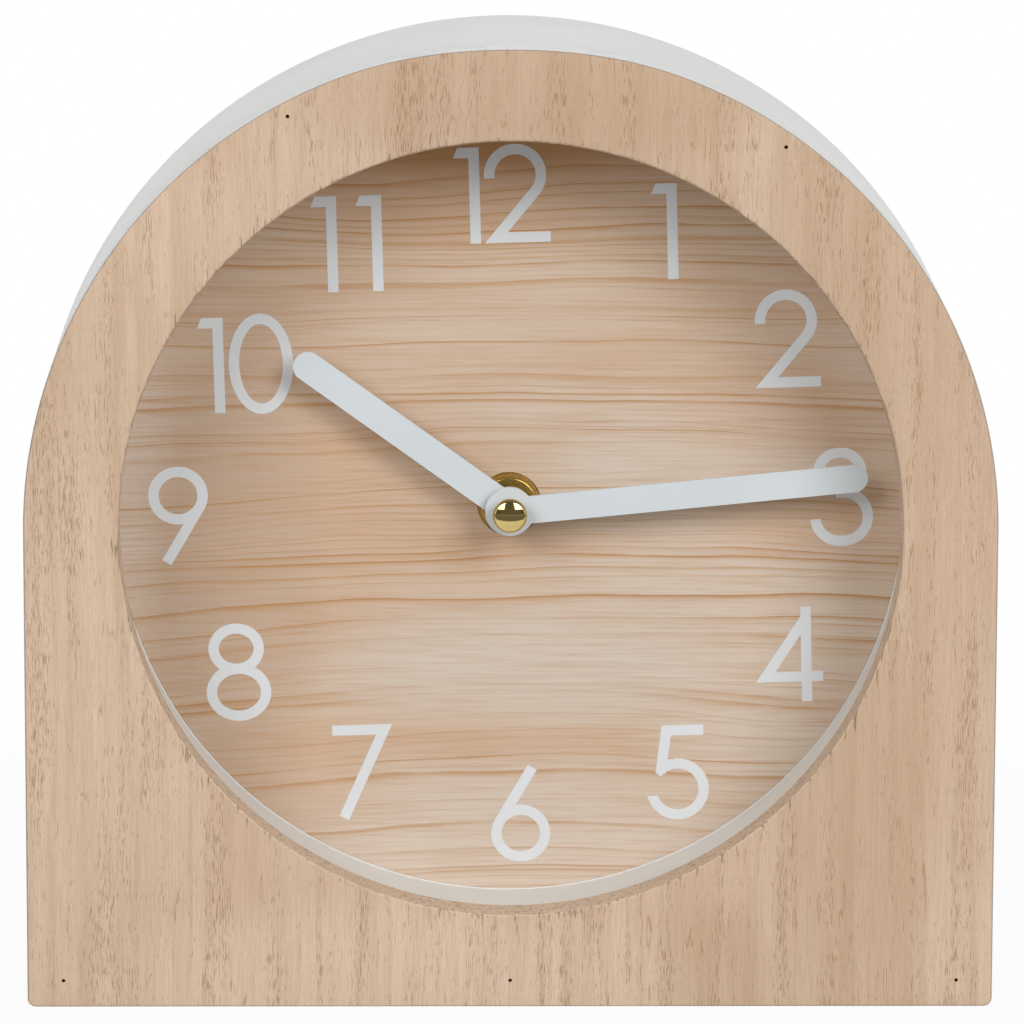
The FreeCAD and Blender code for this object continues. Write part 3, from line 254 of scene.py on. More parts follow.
def pocket_loop(bm, depth):
    """The square pocket's outline, with rounded corners."""
    sizes = bpy.context.scene.clock_sizes
    half, corner = sizes.pocket_width / 2, sizes.pocket_corner
    side = 2 * (half - corner)
    steps = LOOP // 4 - CORNER_STEPS
    turn = ("bend", corner, 90, CORNER_STEPS)
    moves = [("go", side / 2, steps // 2), turn]
    moves += [("go", side, steps), turn] * 3
    moves += [("go", side / 2, steps // 2)]
    return closed_loop(bm, (half, SIDE_HEIGHT), 90, moves, depth)


def square_loop(bm, middle, width, depth):
    corner = (middle.x - width / 2, middle.z - width / 2)
    return closed_loop(bm, corner, 0, [("go", width), ("turn", 90)] * 4, depth)


def rounding(radius):
    """The (inset, setback) pairs of a rounded edge, from its side to its front."""
    angles = [math.pi / 2 * step / EDGE_STEPS for step in range(EDGE_STEPS + 1)]
    return [(radius * (1 - math.cos(angle)), radius * (1 - math.sin(angle))) for angle in angles]


def walls(bm, loops):
    """A smooth wall over loops at different depths."""
    for first, second in zip(loops, loops[1:]):
        for face in bmesh.ops.bridge_loops(bm, edges=first + second)["faces"]:
            face.smooth = True


def flat(bm, loops):
    """A flat face between an outline and the holes in it. It stays flat in the shading."""
    edges = [edge for loop in loops for edge in loop]
    filled = bmesh.ops.triangle_fill(bm, edges=edges, use_beauty=True)["geom"]
    for face in of_kind(filled, BMFace):
        face.smooth = False


def made_object(name, bm):
    """Turns a bmesh into an object of the scene."""
    mesh = bpy.data.meshes.new(name)
    bm.to_mesh(mesh)
    bm.free()
    item = bpy.data.objects.new(name, mesh)
    bpy.context.scene.collection.objects.link(item)
    return item


def finished(name, bm, finish, body, replaces=()):
    """Makes a piece of a bmesh, with its finish, sets it on its body and hides the CAD parts it
    replaces.
    """
    bmesh.ops.recalc_face_normals(bm, faces=bm.faces)
    piece = made_object(name, bm)
    piece.data.set_sharp_from_angle(angle=math.radians(SHARP_ANGLE))
    piece.data.materials.append(finish)
    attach(piece, body)
    if replaces:
        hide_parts(*replaces)
    return piece


def turned_piece(bm, start, heading, moves, closed=False):
    """Spins a profile, drawn as (radius, height), and turns it so that its height runs out of the
    dial. A closed profile ends on its way in, and is brought back to its start by a bore."""
    pen = Pen(bm, start, heading).draw(moves)
    if closed:
        pen.go(pen.at.x - start[0])
        pen.turn(90)
        pen.go(pen.at.z - start[1])
    bmesh.ops.spin(
        bm, geom=bm.verts[:] + bm.edges[:], cent=(0, 0, 0), axis=(0, 0, 1),
        angle=2 * math.pi, steps=TURN_STEPS, use_merge=True,
    )
    bmesh.ops.remove_doubles(bm, verts=bm.verts, dist=1e-4)
    bmesh.ops.rotate(bm, verts=bm.verts, cent=(0, 0, 0), matrix=UPRIGHT)
    for face in bm.faces:
        face.smooth = True


def set_on_dial(bm, depth):
    """Takes a drawing in millimetres to the middle of the dial, at a depth."""
    bmesh.ops.scale(bm, verts=bm.verts, vec=(MM, MM, MM))
    bmesh.ops.translate(bm, verts=bm.verts, vec=CENTRE + Vector((0, depth, 0)))


# --- materials ---
class Finish:
    """A node material. Its constants sit on the shader's own sockets."""

    def __init__(self, name, **values):
        self.material = bpy.data.materials.new(name)
        self.material.use_nodes = True
        self.tree = self.material.node_tree
        self.shader = self.tree.nodes["Principled BSDF"]
        for socket, value in values.items():
            self.feed(self.shader.inputs[socket.replace("_", " ")], value)
        self.place = self.node("ShaderNodeTexCoord").outputs["Object"]

    def feed(self, socket, value):
        """Links an output to a socket, or sets the socket to a number or a colour."""
        if isinstance(value, bpy.types.NodeSocket):
            self.tree.links.new(value, socket)
        elif socket.type == "RGBA":
            socket.default_value = (*value, 1)
        else:
            socket.default_value = value

    def node(self, kind, inputs=(), **settings):
        """A node with its settings and with its inputs fed."""
        made = self.tree.nodes.new(kind)
        for name, value in settings.items():
            setattr(made, name, value)
        for key, value in dict(inputs).items():
            self.feed(made.inputs[key], value)
        return made

    def scaled(self, scale, source=None):
        """Coordinates that run so many units to the millimetre along X, Y and Z."""
        mapping = self.node("ShaderNodeMapping", {"Vector": source or self.place})
        mapping.inputs["Scale"].default_value = [share / MM for share in scale]
        return mapping.outputs["Vector"]

    def noise(self, scale, place=None, detail=3.0, roughness=0.5):
        """Noise of so many cycles to the millimetre, the same or of its own along each axis."""
        scale = scale if isinstance(scale, tuple) else (scale,) * 3
        inputs = {
            "Vector": self.scaled(scale, place),
            "Scale": 1.0,
            "Detail": detail,
            "Roughness": roughness,
        }
        return self.node("ShaderNodeTexNoise", inputs).outputs["Fac"]

    def metres(self, axis):
        """The distance along an axis."""
        return self.node("ShaderNodeSeparateXYZ", {"Vector": self.place}).outputs[axis]

    def millimetres(self, axis):
        place = self.scaled((1, 1, 1))
        return self.node("ShaderNodeSeparateXYZ", {"Vector": place}).outputs[axis]

    def math(self, operation, first, second=0.0, third=0.0):
        inputs = {0: first, 1: second, 2: third}
        return self.node("ShaderNodeMath", inputs, operation=operation).outputs[0]

    def times(self, first, second):
        return self.math("MULTIPLY", first, second)

    def minus(self, first, second):
        return self.math("SUBTRACT", first, second)

    def times_plus(self, first, second, third):
        return self.math("MULTIPLY_ADD", first, second, third)

    def between(self, value, low, high, start=0.0, end=1.0):
        """A smooth step from start to end as the value goes from low to high."""
        inputs = {"Value": value, "From Min": low, "From Max": high, "To Min": start, "To Max": end}
        made = self.node("ShaderNodeMapRange", inputs, interpolation_type="SMOOTHSTEP")
        return made.outputs["Result"]

    def mix(self, factor, first, second):
        inputs = {0: factor, 6: first, 7: second}
        return self.node("ShaderNodeMix", inputs, data_type="RGBA").outputs[2]

    def layered(self, tone, layers):
        """Lays colours over a tone, each by a smooth step of its own value."""
        for value, low, high, start, end, colour in layers:
            tone = self.mix(self.between(value, low, high, start, end), tone, colour)
        return tone

    def clouded(self, scale, low, high, first, second, detail=3.0):
        """One colour with soft clouds of another."""
        cloud = self.between(self.noise(scale, detail=detail), low, high)
        return self.mix(cloud, first, second)

    def paint(self, colour):
        self.feed(self.shader.inputs["Base Color"], colour)

    def rough(self, value):
        self.feed(self.shader.inputs["Roughness"], value)

    def bump(self, height, distance):
        """Relief of so many millimetres."""
        inputs = {"Height": height, "Distance": distance * MM, "Strength": 1.0}
        made = self.node("ShaderNodeBump", inputs)
        self.feed(self.shader.inputs["Normal"], made.outputs["Normal"])


# Broad soft patches in the colour of the dial and of the face, some of them tone of the wood and
# some painted light and shade:
# the middle and the half sizes in millimetres from the dial's middle, and how strong the patch is.
# Warm darker patches: heartwood, and painted shade under the top of the rim, along the left wall
# and below the hub and the minute hand.
HEARTWOOD_AND_SHADE = (
    ((2, -6), (46, 7), 0.15),
    ((2, -51), (40, 5), 0.25),
    ((-50, 2), (32, 42), 0.20),
    ((60, -2), (24, 10), 0.35),
    ((54, 20), (26, 12), 0.30),
    ((-8, 80), (75, 14), 1.00),
    ((-18, 65), (42, 12), 0.50),
    ((-48, -58), (26, 14), 0.30),
)
# Painted shade: a dark band on the dial under the top of the rim, where the rim's shadow falls.
PAINTED_RIM_SHADE = (((-16, 80), (60, 11), 0.60),)
# Paler patches: sapwood, and painted light along the left and right rims of the dial, where light
# bounces off the white bore.
SAPWOOD_AND_RIM_LIGHT = (
    ((0, 42), (40, 12), 0.20),
    ((38, 8), (38, 20), 0.70),
    ((10, 18), (30, 9), 0.40),
    ((44, -24), (46, 26), 0.50),
    ((8, -35), (56, 15), 0.80),
    ((48, -50), (26, 20), 0.60),
    ((0, -70), (62, 20), 0.65),
    ((80, 16), (14, 52), 0.20),
    ((-80, 12), (10, 44), 0.50),
)
# Painted shade along the dial's left side, where the wall of the recess shades it.
PAINTED_WALL_SHADE = (((-58, -14), (20, 64), 0.28),)
PLAIN = (               # few growth lines show here
    ((0, -34), (64, 14), 0.80),
    ((-10, -70), (70, 14), 0.40),
    ((34, 9), (36, 6), 0.60),
    ((-4, 41), (44, 6), 0.40),
)
LINED = (               # and many here
    ((12, 25), (44, 7), 1.00),
    ((-4, -16), (80, 6), 1.00),
    ((0, 58), (80, 8), 0.60),
)
# Painted shade on the face: darker towards its top and its right side.
PAINTED_FACE_SHADE = (
    ((8, 92), (62, 18), 0.40),
    ((70, 50), (20, 66), 0.28),
    ((70, -56), (18, 44), 0.34),
    ((42, -92), (12, 16), 0.30),
)
# Painted light on the face: paler towards its bottom and its left side.
PAINTED_FACE_LIGHT = (
    ((-24, -100), (80, 24), 0.75),
    ((-92, -40), (14, 70), 0.45),
    ((-66, 62), (18, 18), 0.35),
    ((94, -90), (12, 22), 0.40),
)
PATCH_CORE = 0.05       # where a patch starts to fade, in squares of its half size
PATCH_END = 1.3         # and where it ends

GROWTH_LINES = (        # spacing in millimetres, sharpness, seed and depth of each set of lines
    (5.3, 3.0, 0.3, 0.26),      # the soft shade towards each broad line
    (5.3, 13.0, 0.3, 1.25),
    (2.37, 6.8, 0.7, 1.30),
    (1.49, 4.3, 0.1, 0.55),
)
FAINT = 0.42            # share of their depth that is left where the lines fade

SPLIT_REACH = (0.0008, 0.0042)      # of the splits from the rim of the hole, in metres
CHIP = 0.0016                       # size of the chips along its torn edge
CREEP_SHADE = 0.82                         # painted shade: darkens the paint that creeps over the front to the top's tone
CREEP_SHADE_FROM = (0.00001, 0.00008)      # where it gets that tone, from the edge inwards
CREEP_END = 0.034       # how far from the middle of the arch the paint creeps, in metres
CREEP_LEAST = 0.0002    # and its reach beyond there
CREEP_BLUR = 0.00004    # softness of its border
CREEP_LINE = (0.00005, 0.00014, 0.55, 0.0)      # the dark line there, and how dark it is

CELL_BAND = 0.0141      # length of the cell's band, with its nub
CELL_NUB = 0.0013
CELL_END = 0.0003       # turn of the bare end round its edge
CELL_BLUR = 0.0001      # softness of the borders between them
WIRE_TURNS = 40.0       # of phase to each millimetre of the winding


def shaded(colour, share):
    return tuple(channel * share for channel in colour)


def patches(wood, places):
    """How far a place lies inside the nearest of some soft patches."""
    x, z = wood.millimetres("X"), wood.millimetres("Z")
    inside = 0.0
    for middle, half, depth in places:
        across = wood.math("DIVIDE", wood.minus(x, middle[0]), half[0])
        up = wood.math("DIVIDE", wood.minus(z, SIDE_HEIGHT / MM + middle[1]), half[1])
        far = wood.times_plus(up, up, wood.times(across, across))
        step = wood.between(far, PATCH_CORE, PATCH_END, depth, 0.0)
        inside = wood.math("MAXIMUM", inside, step)
    return inside


def bent_grain(wood):
    """Coordinates in which the upright grain wanders a little from side to side."""
    slow = wood.minus(wood.noise((0.012, 0.012, 0.006), detail=1.0), 0.5)
    quick = wood.minus(wood.noise((0.5, 0.5, 0.35), detail=1.0), 0.5)
    shift = wood.times_plus(slow, 0.005, wood.times(quick, 0.0005))
    bent = wood.node("ShaderNodeCombineXYZ", {"X": shift}).outputs[0]
    return wood.node("ShaderNodeVectorMath", {0: wood.place, 1: bent}, operation="ADD").outputs[0]


def face_pores(wood, grain):
    """Short upright dashes, crowded into some columns."""
    columns = wood.noise((0.17, 0.17, 0.012), grain, detail=3.0, roughness=0.7)
    crowd = wood.between(columns, 0.46, 0.62)
    dashes = wood.noise((5.2, 5.2, 0.32), grain, detail=2.0, roughness=0.55)
    return wood.between(wood.times_plus(crowd, 0.11, dashes), 0.64, 0.74)


def face_checks(wood, grain):
    """Long fine cracks that follow the grain, broken into pieces."""
    ridge = wood.noise((0.42, 0.42, 0.030), grain, detail=2.0, roughness=0.5)
    ridge = wood.math("ABSOLUTE", wood.minus(ridge, 0.5))
    pieces = wood.noise((0.30, 0.30, 0.12), detail=2.0, roughness=0.6)
    crack = wood.between(ridge, 0.004, 0.014, 1.0, 0.0)
    return wood.times(crack, wood.between(pieces, 0.53, 0.63))


def rim_splits(wood, grain, rim, up):
    """Splits in the grain along the rim of the hole, and its torn upper edge."""
    ragged = wood.noise(0.09, detail=2.0)
    depth = wood.between(ragged, 0.35, 0.65, *SPLIT_REACH)
    near = wood.minus(1.0, wood.math("DIVIDE", rim, depth))
    nicks = wood.noise((1.5, 1.5, 0.12), grain, detail=2.0, roughness=0.6)
    splits = wood.between(wood.times_plus(near, 0.10, nicks), 0.66, 0.74)
    splits = wood.times(splits, wood.between(near, 0.0, 0.3))
    chips = wood.noise(0.30, detail=5.0, roughness=0.7)
    torn = wood.between(wood.times_plus(chips, -CHIP, rim), -0.0009, -0.0002, 1.0, 0.0)
    torn = wood.times(torn, wood.between(up, 0.0, 0.03, 0.0, 0.85))
    return wood.math("MAXIMUM", splits, torn)


def side_paint(wood, tone, x, across, up):
    """The case's paint on the outer side. It creeps a little over the front of the arch, and a
    thin dark line marks its end."""
    sizes, colours = bpy.context.scene.clock_sizes, bpy.context.scene.clock_colours
    over = wood.math("MAXIMUM", up, 0.0)
    reach = wood.math("SQRT", wood.times_plus(over, over, across))
    inset = wood.minus(HALF_WIDTH, reach)
    beside = wood.math("ABSOLUTE", x)
    creep = wood.between(beside, 0.0, CREEP_END, sizes.paint_creep, CREEP_LEAST)
    past = wood.minus(inset, creep)
    # Painted shade: the paint that creeps over the front is darkened to the tone of the top, which
    # gets less light.
    thin = shaded(colours.paint, CREEP_SHADE)
    front_shade = wood.mix(wood.between(inset, *CREEP_SHADE_FROM), colours.paint, thin)
    line = wood.between(wood.math("ABSOLUTE", past), *CREEP_LINE)
    tone = wood.mix(wood.between(past, -CREEP_BLUR, CREEP_BLUR, 1.0, 0.0), tone, front_shade)
    return wood.mix(line, tone, colours.face_split)


def face_wood():
    """Straight-grained pale wood, its grain upright, with short pores and splits round the hole.
    Its outer side is painted as the case is."""
    sizes, colours = bpy.context.scene.clock_sizes, bpy.context.scene.clock_colours
    wood = Finish("face_wood", Roughness=0.55, Specular_IOR_Level=0.3)
    grain = bent_grain(wood)
    bands = wood.noise((0.07, 0.07, 0.004), grain, detail=2.0)
    streaks = wood.noise((0.34, 0.34, 0.010), grain, detail=3.0, roughness=0.55)
    fibres = wood.noise((3.0, 3.0, 0.075), grain, detail=4.0, roughness=0.65)
    speckle = wood.noise((3.4, 3.4, 0.9), detail=2.0, roughness=0.7)
    tone = wood.mix(wood.between(bands, 0.36, 0.66), colours.face_light, colours.face_mid)
    # Painted light towards the bottom of the face and painted shade towards its top and right.
    tone = wood.mix(patches(wood, PAINTED_FACE_LIGHT), tone, colours.face_pale)
    tone = wood.mix(patches(wood, PAINTED_FACE_SHADE), tone, colours.face_dark)
    tone = wood.layered(tone, (
        (streaks, 0.40, 0.72, 0.0, 0.30, colours.face_dark),
        (fibres, 0.36, 0.70, 0.0, 0.36, colours.face_dark),
        (fibres, 0.22, 0.42, 0.22, 0.0, colours.face_pale),
        (speckle, 0.40, 0.75, 0.0, 0.14, colours.face_dark),
    ))
    pores, checks = face_pores(wood, grain), face_checks(wood, grain)
    tone = wood.mix(wood.times(pores, 0.62), tone, colours.face_pore)
    tone = wood.mix(wood.times(checks, 0.50), tone, colours.face_pore)

    x = wood.metres("X")
    up = wood.minus(wood.metres("Z"), SIDE_HEIGHT)
    across = wood.times(x, x)
    radius = wood.math("SQRT", wood.times_plus(up, up, across))
    rim = wood.minus(radius, sizes.hole_radius)
    splits = rim_splits(wood, grain, rim, up)
    tone = wood.mix(wood.between(rim, 0.0001, 0.0004, 0.55, 0.0), tone, colours.face_pale)
    tone = wood.mix(wood.times(splits, 0.6), tone, colours.face_split)
    wood.paint(side_paint(wood, tone, x, across, up))
    relief = wood.minus(fibres, wood.times(wood.math("MAXIMUM", pores, checks), 0.9))
    wood.bump(wood.minus(relief, splits), 0.05)
    return wood.material


def growth_height(wood):
    """The height in millimetres that the dial's growth lines follow: bent, and here and there
    more crowded."""
    warp = wood.noise((0.006, 0.006, 0.022), detail=2.0, roughness=0.45)
    ripple = wood.noise((0.03, 0.03, 0.16), detail=2.0)
    tremor = wood.noise((0.16, 0.16, 0.7), detail=2.0)
    lean = wood.between(wood.metres("X"), -0.085, 0.015, 3.4, 0.0)
    height = wood.math("ADD", wood.millimetres("Z"), lean)
    for bend, amount in ((warp, 22.0), (ripple, 1.5), (tremor, 0.20)):
        height = wood.times_plus(bend, amount, height)
    inputs = {"W": height, "Scale": 0.10}
    crowding = wood.node("ShaderNodeTexNoise", inputs, noise_dimensions="1D")
    return wood.times_plus(crowding.outputs["Fac"], 4.5, height)


def growth_rings(wood, height, spacing, sharpness, seed):
    """Rings that each rise to a line and fall off, with a strength of their own."""
    ring = wood.math("ADD", wood.math("DIVIDE", height, spacing), seed)
    rise, number = wood.math("FRACT", ring), wood.math("FLOOR", ring)
    drawn = wood.node("ShaderNodeTexWhiteNoise", {"W": number}, noise_dimensions="1D")
    strength = wood.between(drawn.outputs["Value"], 0.18, 0.85)
    line = wood.math("POWER", rise, sharpness)
    fall = wood.between(rise, 0.97, 1.0, 1.0, 0.0)
    return wood.times(wood.times(line, fall), strength)


def dial_wood():
    """Softwood with its grain across: pale early wood between thin brown growth lines."""
    colours = bpy.context.scene.clock_colours
    wood = Finish("dial_wood", Roughness=0.6, Specular_IOR_Level=0.25)
    broken = wood.noise((0.022, 0.022, 0.16), detail=3.0, roughness=0.6)
    blush = wood.noise((0.010, 0.010, 0.075), detail=3.0, roughness=0.6)
    fibres = wood.noise((0.05, 0.05, 1.7), detail=4.0, roughness=0.65)
    tone = wood.mix(wood.between(blush, 0.36, 0.64), colours.dial_light, colours.dial_mid)
    # Soft patches of tone. Among them are painted shade under the top of the rim and along the left
    # wall, and painted light along the side rims.
    for places, colour in (
        (SAPWOOD_AND_RIM_LIGHT, colours.dial_pale),
        (HEARTWOOD_AND_SHADE, colours.dial_heart_and_shade),
        (PAINTED_RIM_SHADE, colours.dial_dark),
        (PAINTED_WALL_SHADE, colours.dial_wall_shade),
    ):
        tone = wood.mix(patches(wood, places), tone, colour)
    tone = wood.mix(wood.between(fibres, 0.40, 0.75, 0.0, 0.30), tone, colours.dial_dark)
    height = growth_height(wood)
    broken = wood.times_plus(patches(wood, LINED), 0.12, broken)
    clear = wood.minus(1.0, patches(wood, PLAIN))
    for spacing, sharpness, seed, depth in GROWTH_LINES:
        rings = growth_rings(wood, height, spacing, sharpness, seed)
        fade = wood.between(broken, 0.38, 0.56, depth * FAINT, depth)
        tone = wood.mix(wood.times(rings, wood.times(fade, clear)), tone, colours.dial_dark)
    wood.paint(tone)
    wood.bump(fibres, 0.02)
    return wood.material


def satin_paint(name, colour, roughness, grain):
    """Sprayed paint with a faint orange peel and a slightly uneven tone."""
    paint = Finish(name, Roughness=roughness, Specular_IOR_Level=0.45)
    paint.paint(paint.clouded(0.03, 0.35, 0.65, colour, shaded(colour, 0.955), detail=2.0))
    paint.bump(paint.noise(grain, detail=2.0), 0.015)
    return paint.material


def polished_metal(name, colour, roughness):
    """Polished metal with faint polishing marks and a little tarnish."""
    metal = Finish(name, Metallic=1.0)
    metal.paint(metal.clouded(0.35, 0.35, 0.7, colour, shaded(colour, 0.88)))
    marks = metal.noise(6.0, detail=2.0)
    metal.rough(metal.between(marks, 0.2, 0.8, roughness * 0.8, roughness * 1.3))
    return metal.material


def moulded_plastic(name, colour, roughness=0.42, grain=7.0):
    """Moulded plastic with a fine spark-eroded texture."""
    plastic = Finish(name)
    sparks = plastic.noise(grain, roughness=0.7)
    plastic.paint(plastic.clouded(0.08, 0.3, 0.7, colour, shaded(colour, 0.8), detail=2.0))
    plastic.rough(plastic.between(sparks, 0.2, 0.8, roughness - 0.08, roughness + 0.1))
    plastic.bump(sparks, 0.03)
    return plastic.material


def wound_wire():
    """Enamelled copper wire in close turns along the coil."""
    wire = Finish("copper_wire", Metallic=0.9, Roughness=0.3)
    wire.paint(wire.clouded(0.8, 0.3, 0.7, (0.60, 0.25, 0.12), (0.42, 0.16, 0.07)))
    wire.bump(wire.math("SINE", wire.times(wire.millimetres("X"), WIRE_TURNS)), 0.05)
    return wire.material


def cell_sleeve():
    """The cell's shrink sleeve, dark with one plain band at the positive end, and bare caps."""
    sleeve = Finish("cell_sleeve", Roughness=0.25)
    low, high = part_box("battery")
    x = sleeve.metres("X")

    def beyond(border, start=0.0, end=1.0):
        return sleeve.between(x, border - CELL_BLUR, border + CELL_BLUR, start, end)

    dark = sleeve.clouded(0.2, 0.3, 0.7, (0.035, 0.04, 0.05), (0.05, 0.055, 0.065))
    tone = sleeve.mix(beyond(high.x - CELL_BAND), dark, (0.62, 0.36, 0.10))
    ends = beyond(high.x - CELL_NUB), beyond(low.x + CELL_END, 1.0, 0.0)
    bare = sleeve.math("MAXIMUM", *ends)
    sleeve.paint(sleeve.mix(bare, tone, (0.66, 0.66, 0.64)))
    sleeve.feed(sleeve.shader.inputs["Metallic"], bare)
    return sleeve.material


# --- numerals ---
# Each figure is a list of parts, drawn in millimetres from its left edge and its base line. A
# ring is an ellipse, given by its middle and the half axes of its middle line. A stroke is its
# start, its heading, the pen's moves, and perhaps the slant of its first end and its width.
STROKE = 2.2
FIGURES = {
    "0": [("ring", (6.75, 10.2), (5.65, 9.5))],
    "1": [("stroke", (0.5, 19.05), 0, [("go", 3.82), ("turn", -90), ("go", 19.05)], -23.5)],
    "2": [
        ("stroke", (1.13, 13.6), 96.4,
         [("bend", 5.4, -227.4), ("go", 12.66), ("turn", 131), ("go", 11.33)], -6.4),
    ],
    "3": [
        ("stroke", (2.0, 15.4), 92.7,
         [("bend", 4.2, -92.7), ("go", 0.6), ("bend", 4.2, -180), ("go", 1.2)], -2.7),
        ("stroke", (5.6, 11.35), 0,
         [("go", 1.5), ("bend", 5.12, -180), ("go", 0.8), ("bend", 5.12, -85.5)]),
    ],
    "4": [
        ("stroke", (10.86, 18.55), 235.55, [("go", 16), ("turn", 124.45), ("go", 12.1)], -50.85),
        ("stroke", (10.43, 0), 90, [("go", 20.3)]),
    ],
    "5": [
        ("stroke", (12.3, 19.4), 180, [("go", 7.83), ("turn", 81.3), ("go", 9.25)]),
        ("stroke", (1.27, 5.4), 284.2, [("bend", 5.5, 295.8)], -14.2),
        ("stroke", (2.57, 9.93), 50.2, [("go", 1.2)], 0, 1.47),
    ],
    "6": [
        ("ring", (6.25, 6.1), (5.15, 5.05)),
        ("stroke", (1.92, 8.81), 58, [("go", 13.46)]),
    ],
    "7": [("stroke", (0, 19.45), 0, [("go", 10.99), ("turn", -115.4), ("go", 20.93)])],
    "8": [("ring", (6.6, 15.5), (4.75, 4.3)), ("ring", (6.9, 6.15), (5.7, 5.05))],
    "9": [
        ("ring", (6.25, 14.9), (5.15, 5.05)),
        ("stroke", (10.58, 12.19), 238, [("go", 13.5)]),
    ],
}
PAIR_SPACING = {"10": 6.4, "11": 9.4, "12": 6.35}
PRINT_TILT = 1.6       # the print is turned a little anticlockwise, in degrees
NUMERAL_PLACES = {     # the middle of each numeral, from the middle of the dial
    "12": (-1.65, 65.4),
    "1": (32.3, 57.6),
    "2": (58.2, 34.9),
    "3": (69.8, 1.4),
    "4": (59.2, -32.2),
    "5": (35.8, -57.6),
    "6": (2.6, -66.5),
    "7": (-30.9, -57.6),
    "8": (-56.8, -36.1),
    "9": (-69.4, -2.7),
    "10": (-55.2, 29.6),
    "11": (-33.9, 54.9),
}


def draw_ring(bm, middle, axes):
    """An elliptical ring: two circles, each stretched to its own ellipse, and the band between."""
    sides = (-STROKE / 2, STROKE / 2)
    circles = [bmesh.ops.create_circle(bm, segments=RING_STEPS, radius=1) for side in sides]
    for circle, side in zip(circles, sides):
        verts = circle["verts"]
        bmesh.ops.rotate(bm, verts=verts, cent=(0, 0, 0), matrix=UPRIGHT)
        bmesh.ops.scale(bm, verts=verts, vec=(axes[0] + side, 1, axes[1] + side))
    bmesh.ops.bridge_loops(bm, edges=bm.edges)
    bmesh.ops.translate(bm, verts=bm.verts, vec=(middle[0], 0, middle[1]))


def draw_stroke(bm, start, heading, moves, slant=0, width=STROKE):
    Pen(bm, start, heading, width, slant).draw(moves)


def thickened(bm, thickness):
    """Gives a flat drawing its thickness, out of the dial."""
    bmesh.ops.remove_doubles(bm, verts=bm.verts, dist=1e-5)
    grown = bmesh.ops.extrude_face_region(bm, geom=bm.faces[:])["geom"]
    bmesh.ops.translate(bm, verts=of_kind(grown, BMVert), vec=(0, -thickness, 0))
    bmesh.ops.recalc_face_normals(bm, faces=bm.faces)


def united(drawings):
    """One closed mesh of overlapping drawings, each with its thickness."""
    parts = [made_object("scratch", bm) for bm in drawings]
    base = parts[0]
    for other in parts[1:]:
        union = base.modifiers.new("union", "BOOLEAN")
        union.operation, union.solver, union.object = "UNION", "EXACT", other
    bpy.context.view_layer.update()
    evaluated = base.evaluated_get(bpy.context.evaluated_depsgraph_get())
    result = bmesh.new()
    result.from_mesh(evaluated.to_mesh())
    evaluated.to_mesh_clear()
    for part in parts:
        mesh = part.data
        bpy.data.objects.remove(part)
        bpy.data.meshes.remove(mesh)
    return result


def draw_figure(figure, shift, thickness):
    """The thick drawings of one figure's parts, shifted to the right."""
    drawings = []
    for kind, *values in FIGURES[figure]:
        bm = bmesh.new()
        (draw_ring if kind == "ring" else draw_stroke)(bm, *values)
        thickened(bm, thickness)
        bmesh.ops.translate(bm, verts=bm.verts, vec=(shift, 0, 0))
        drawings.append(bm)
    return drawings


def make_numeral(text, finish):
    sizes = bpy.context.scene.clock_sizes
    drawings = []
    for index, figure in enumerate(text):
        shift = index * PAIR_SPACING.get(text, 0)
        drawings += draw_figure(figure, shift, sizes.print_thick / MM)
    bm = united(drawings)
    turn = Matrix.Rotation(math.radians(-PRINT_TILT), 3, "Y")
    bmesh.ops.rotate(bm, verts=bm.verts, cent=(0, 0, 0), matrix=turn)
    spans = [(min(values), max(values)) for values in zip(*(vert.co for vert in bm.verts))]
    x, z = NUMERAL_PLACES[text]
    shift = Vector((x - sum(spans[0]) / 2, 0, z - sum(spans[2]) / 2))
    bmesh.ops.translate(bm, verts=bm.verts, vec=shift)
    set_on_dial(bm, DIAL_LOW.y)
    return finished(f"numeral_{text}", bm, finish, "case")


# --- operators ---
class PieceOperator:
    bl_options = {"REGISTER", "UNDO"}

    def execute(self, context):
        self.make(context.scene.clock_sizes, context.scene.clock_colours)
        return {"FINISHED"}


def dress(node, finish):
    """Gives a CAD node its finish."""
    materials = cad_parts[node].data.materials
    materials.clear()
    materials.append(finish)


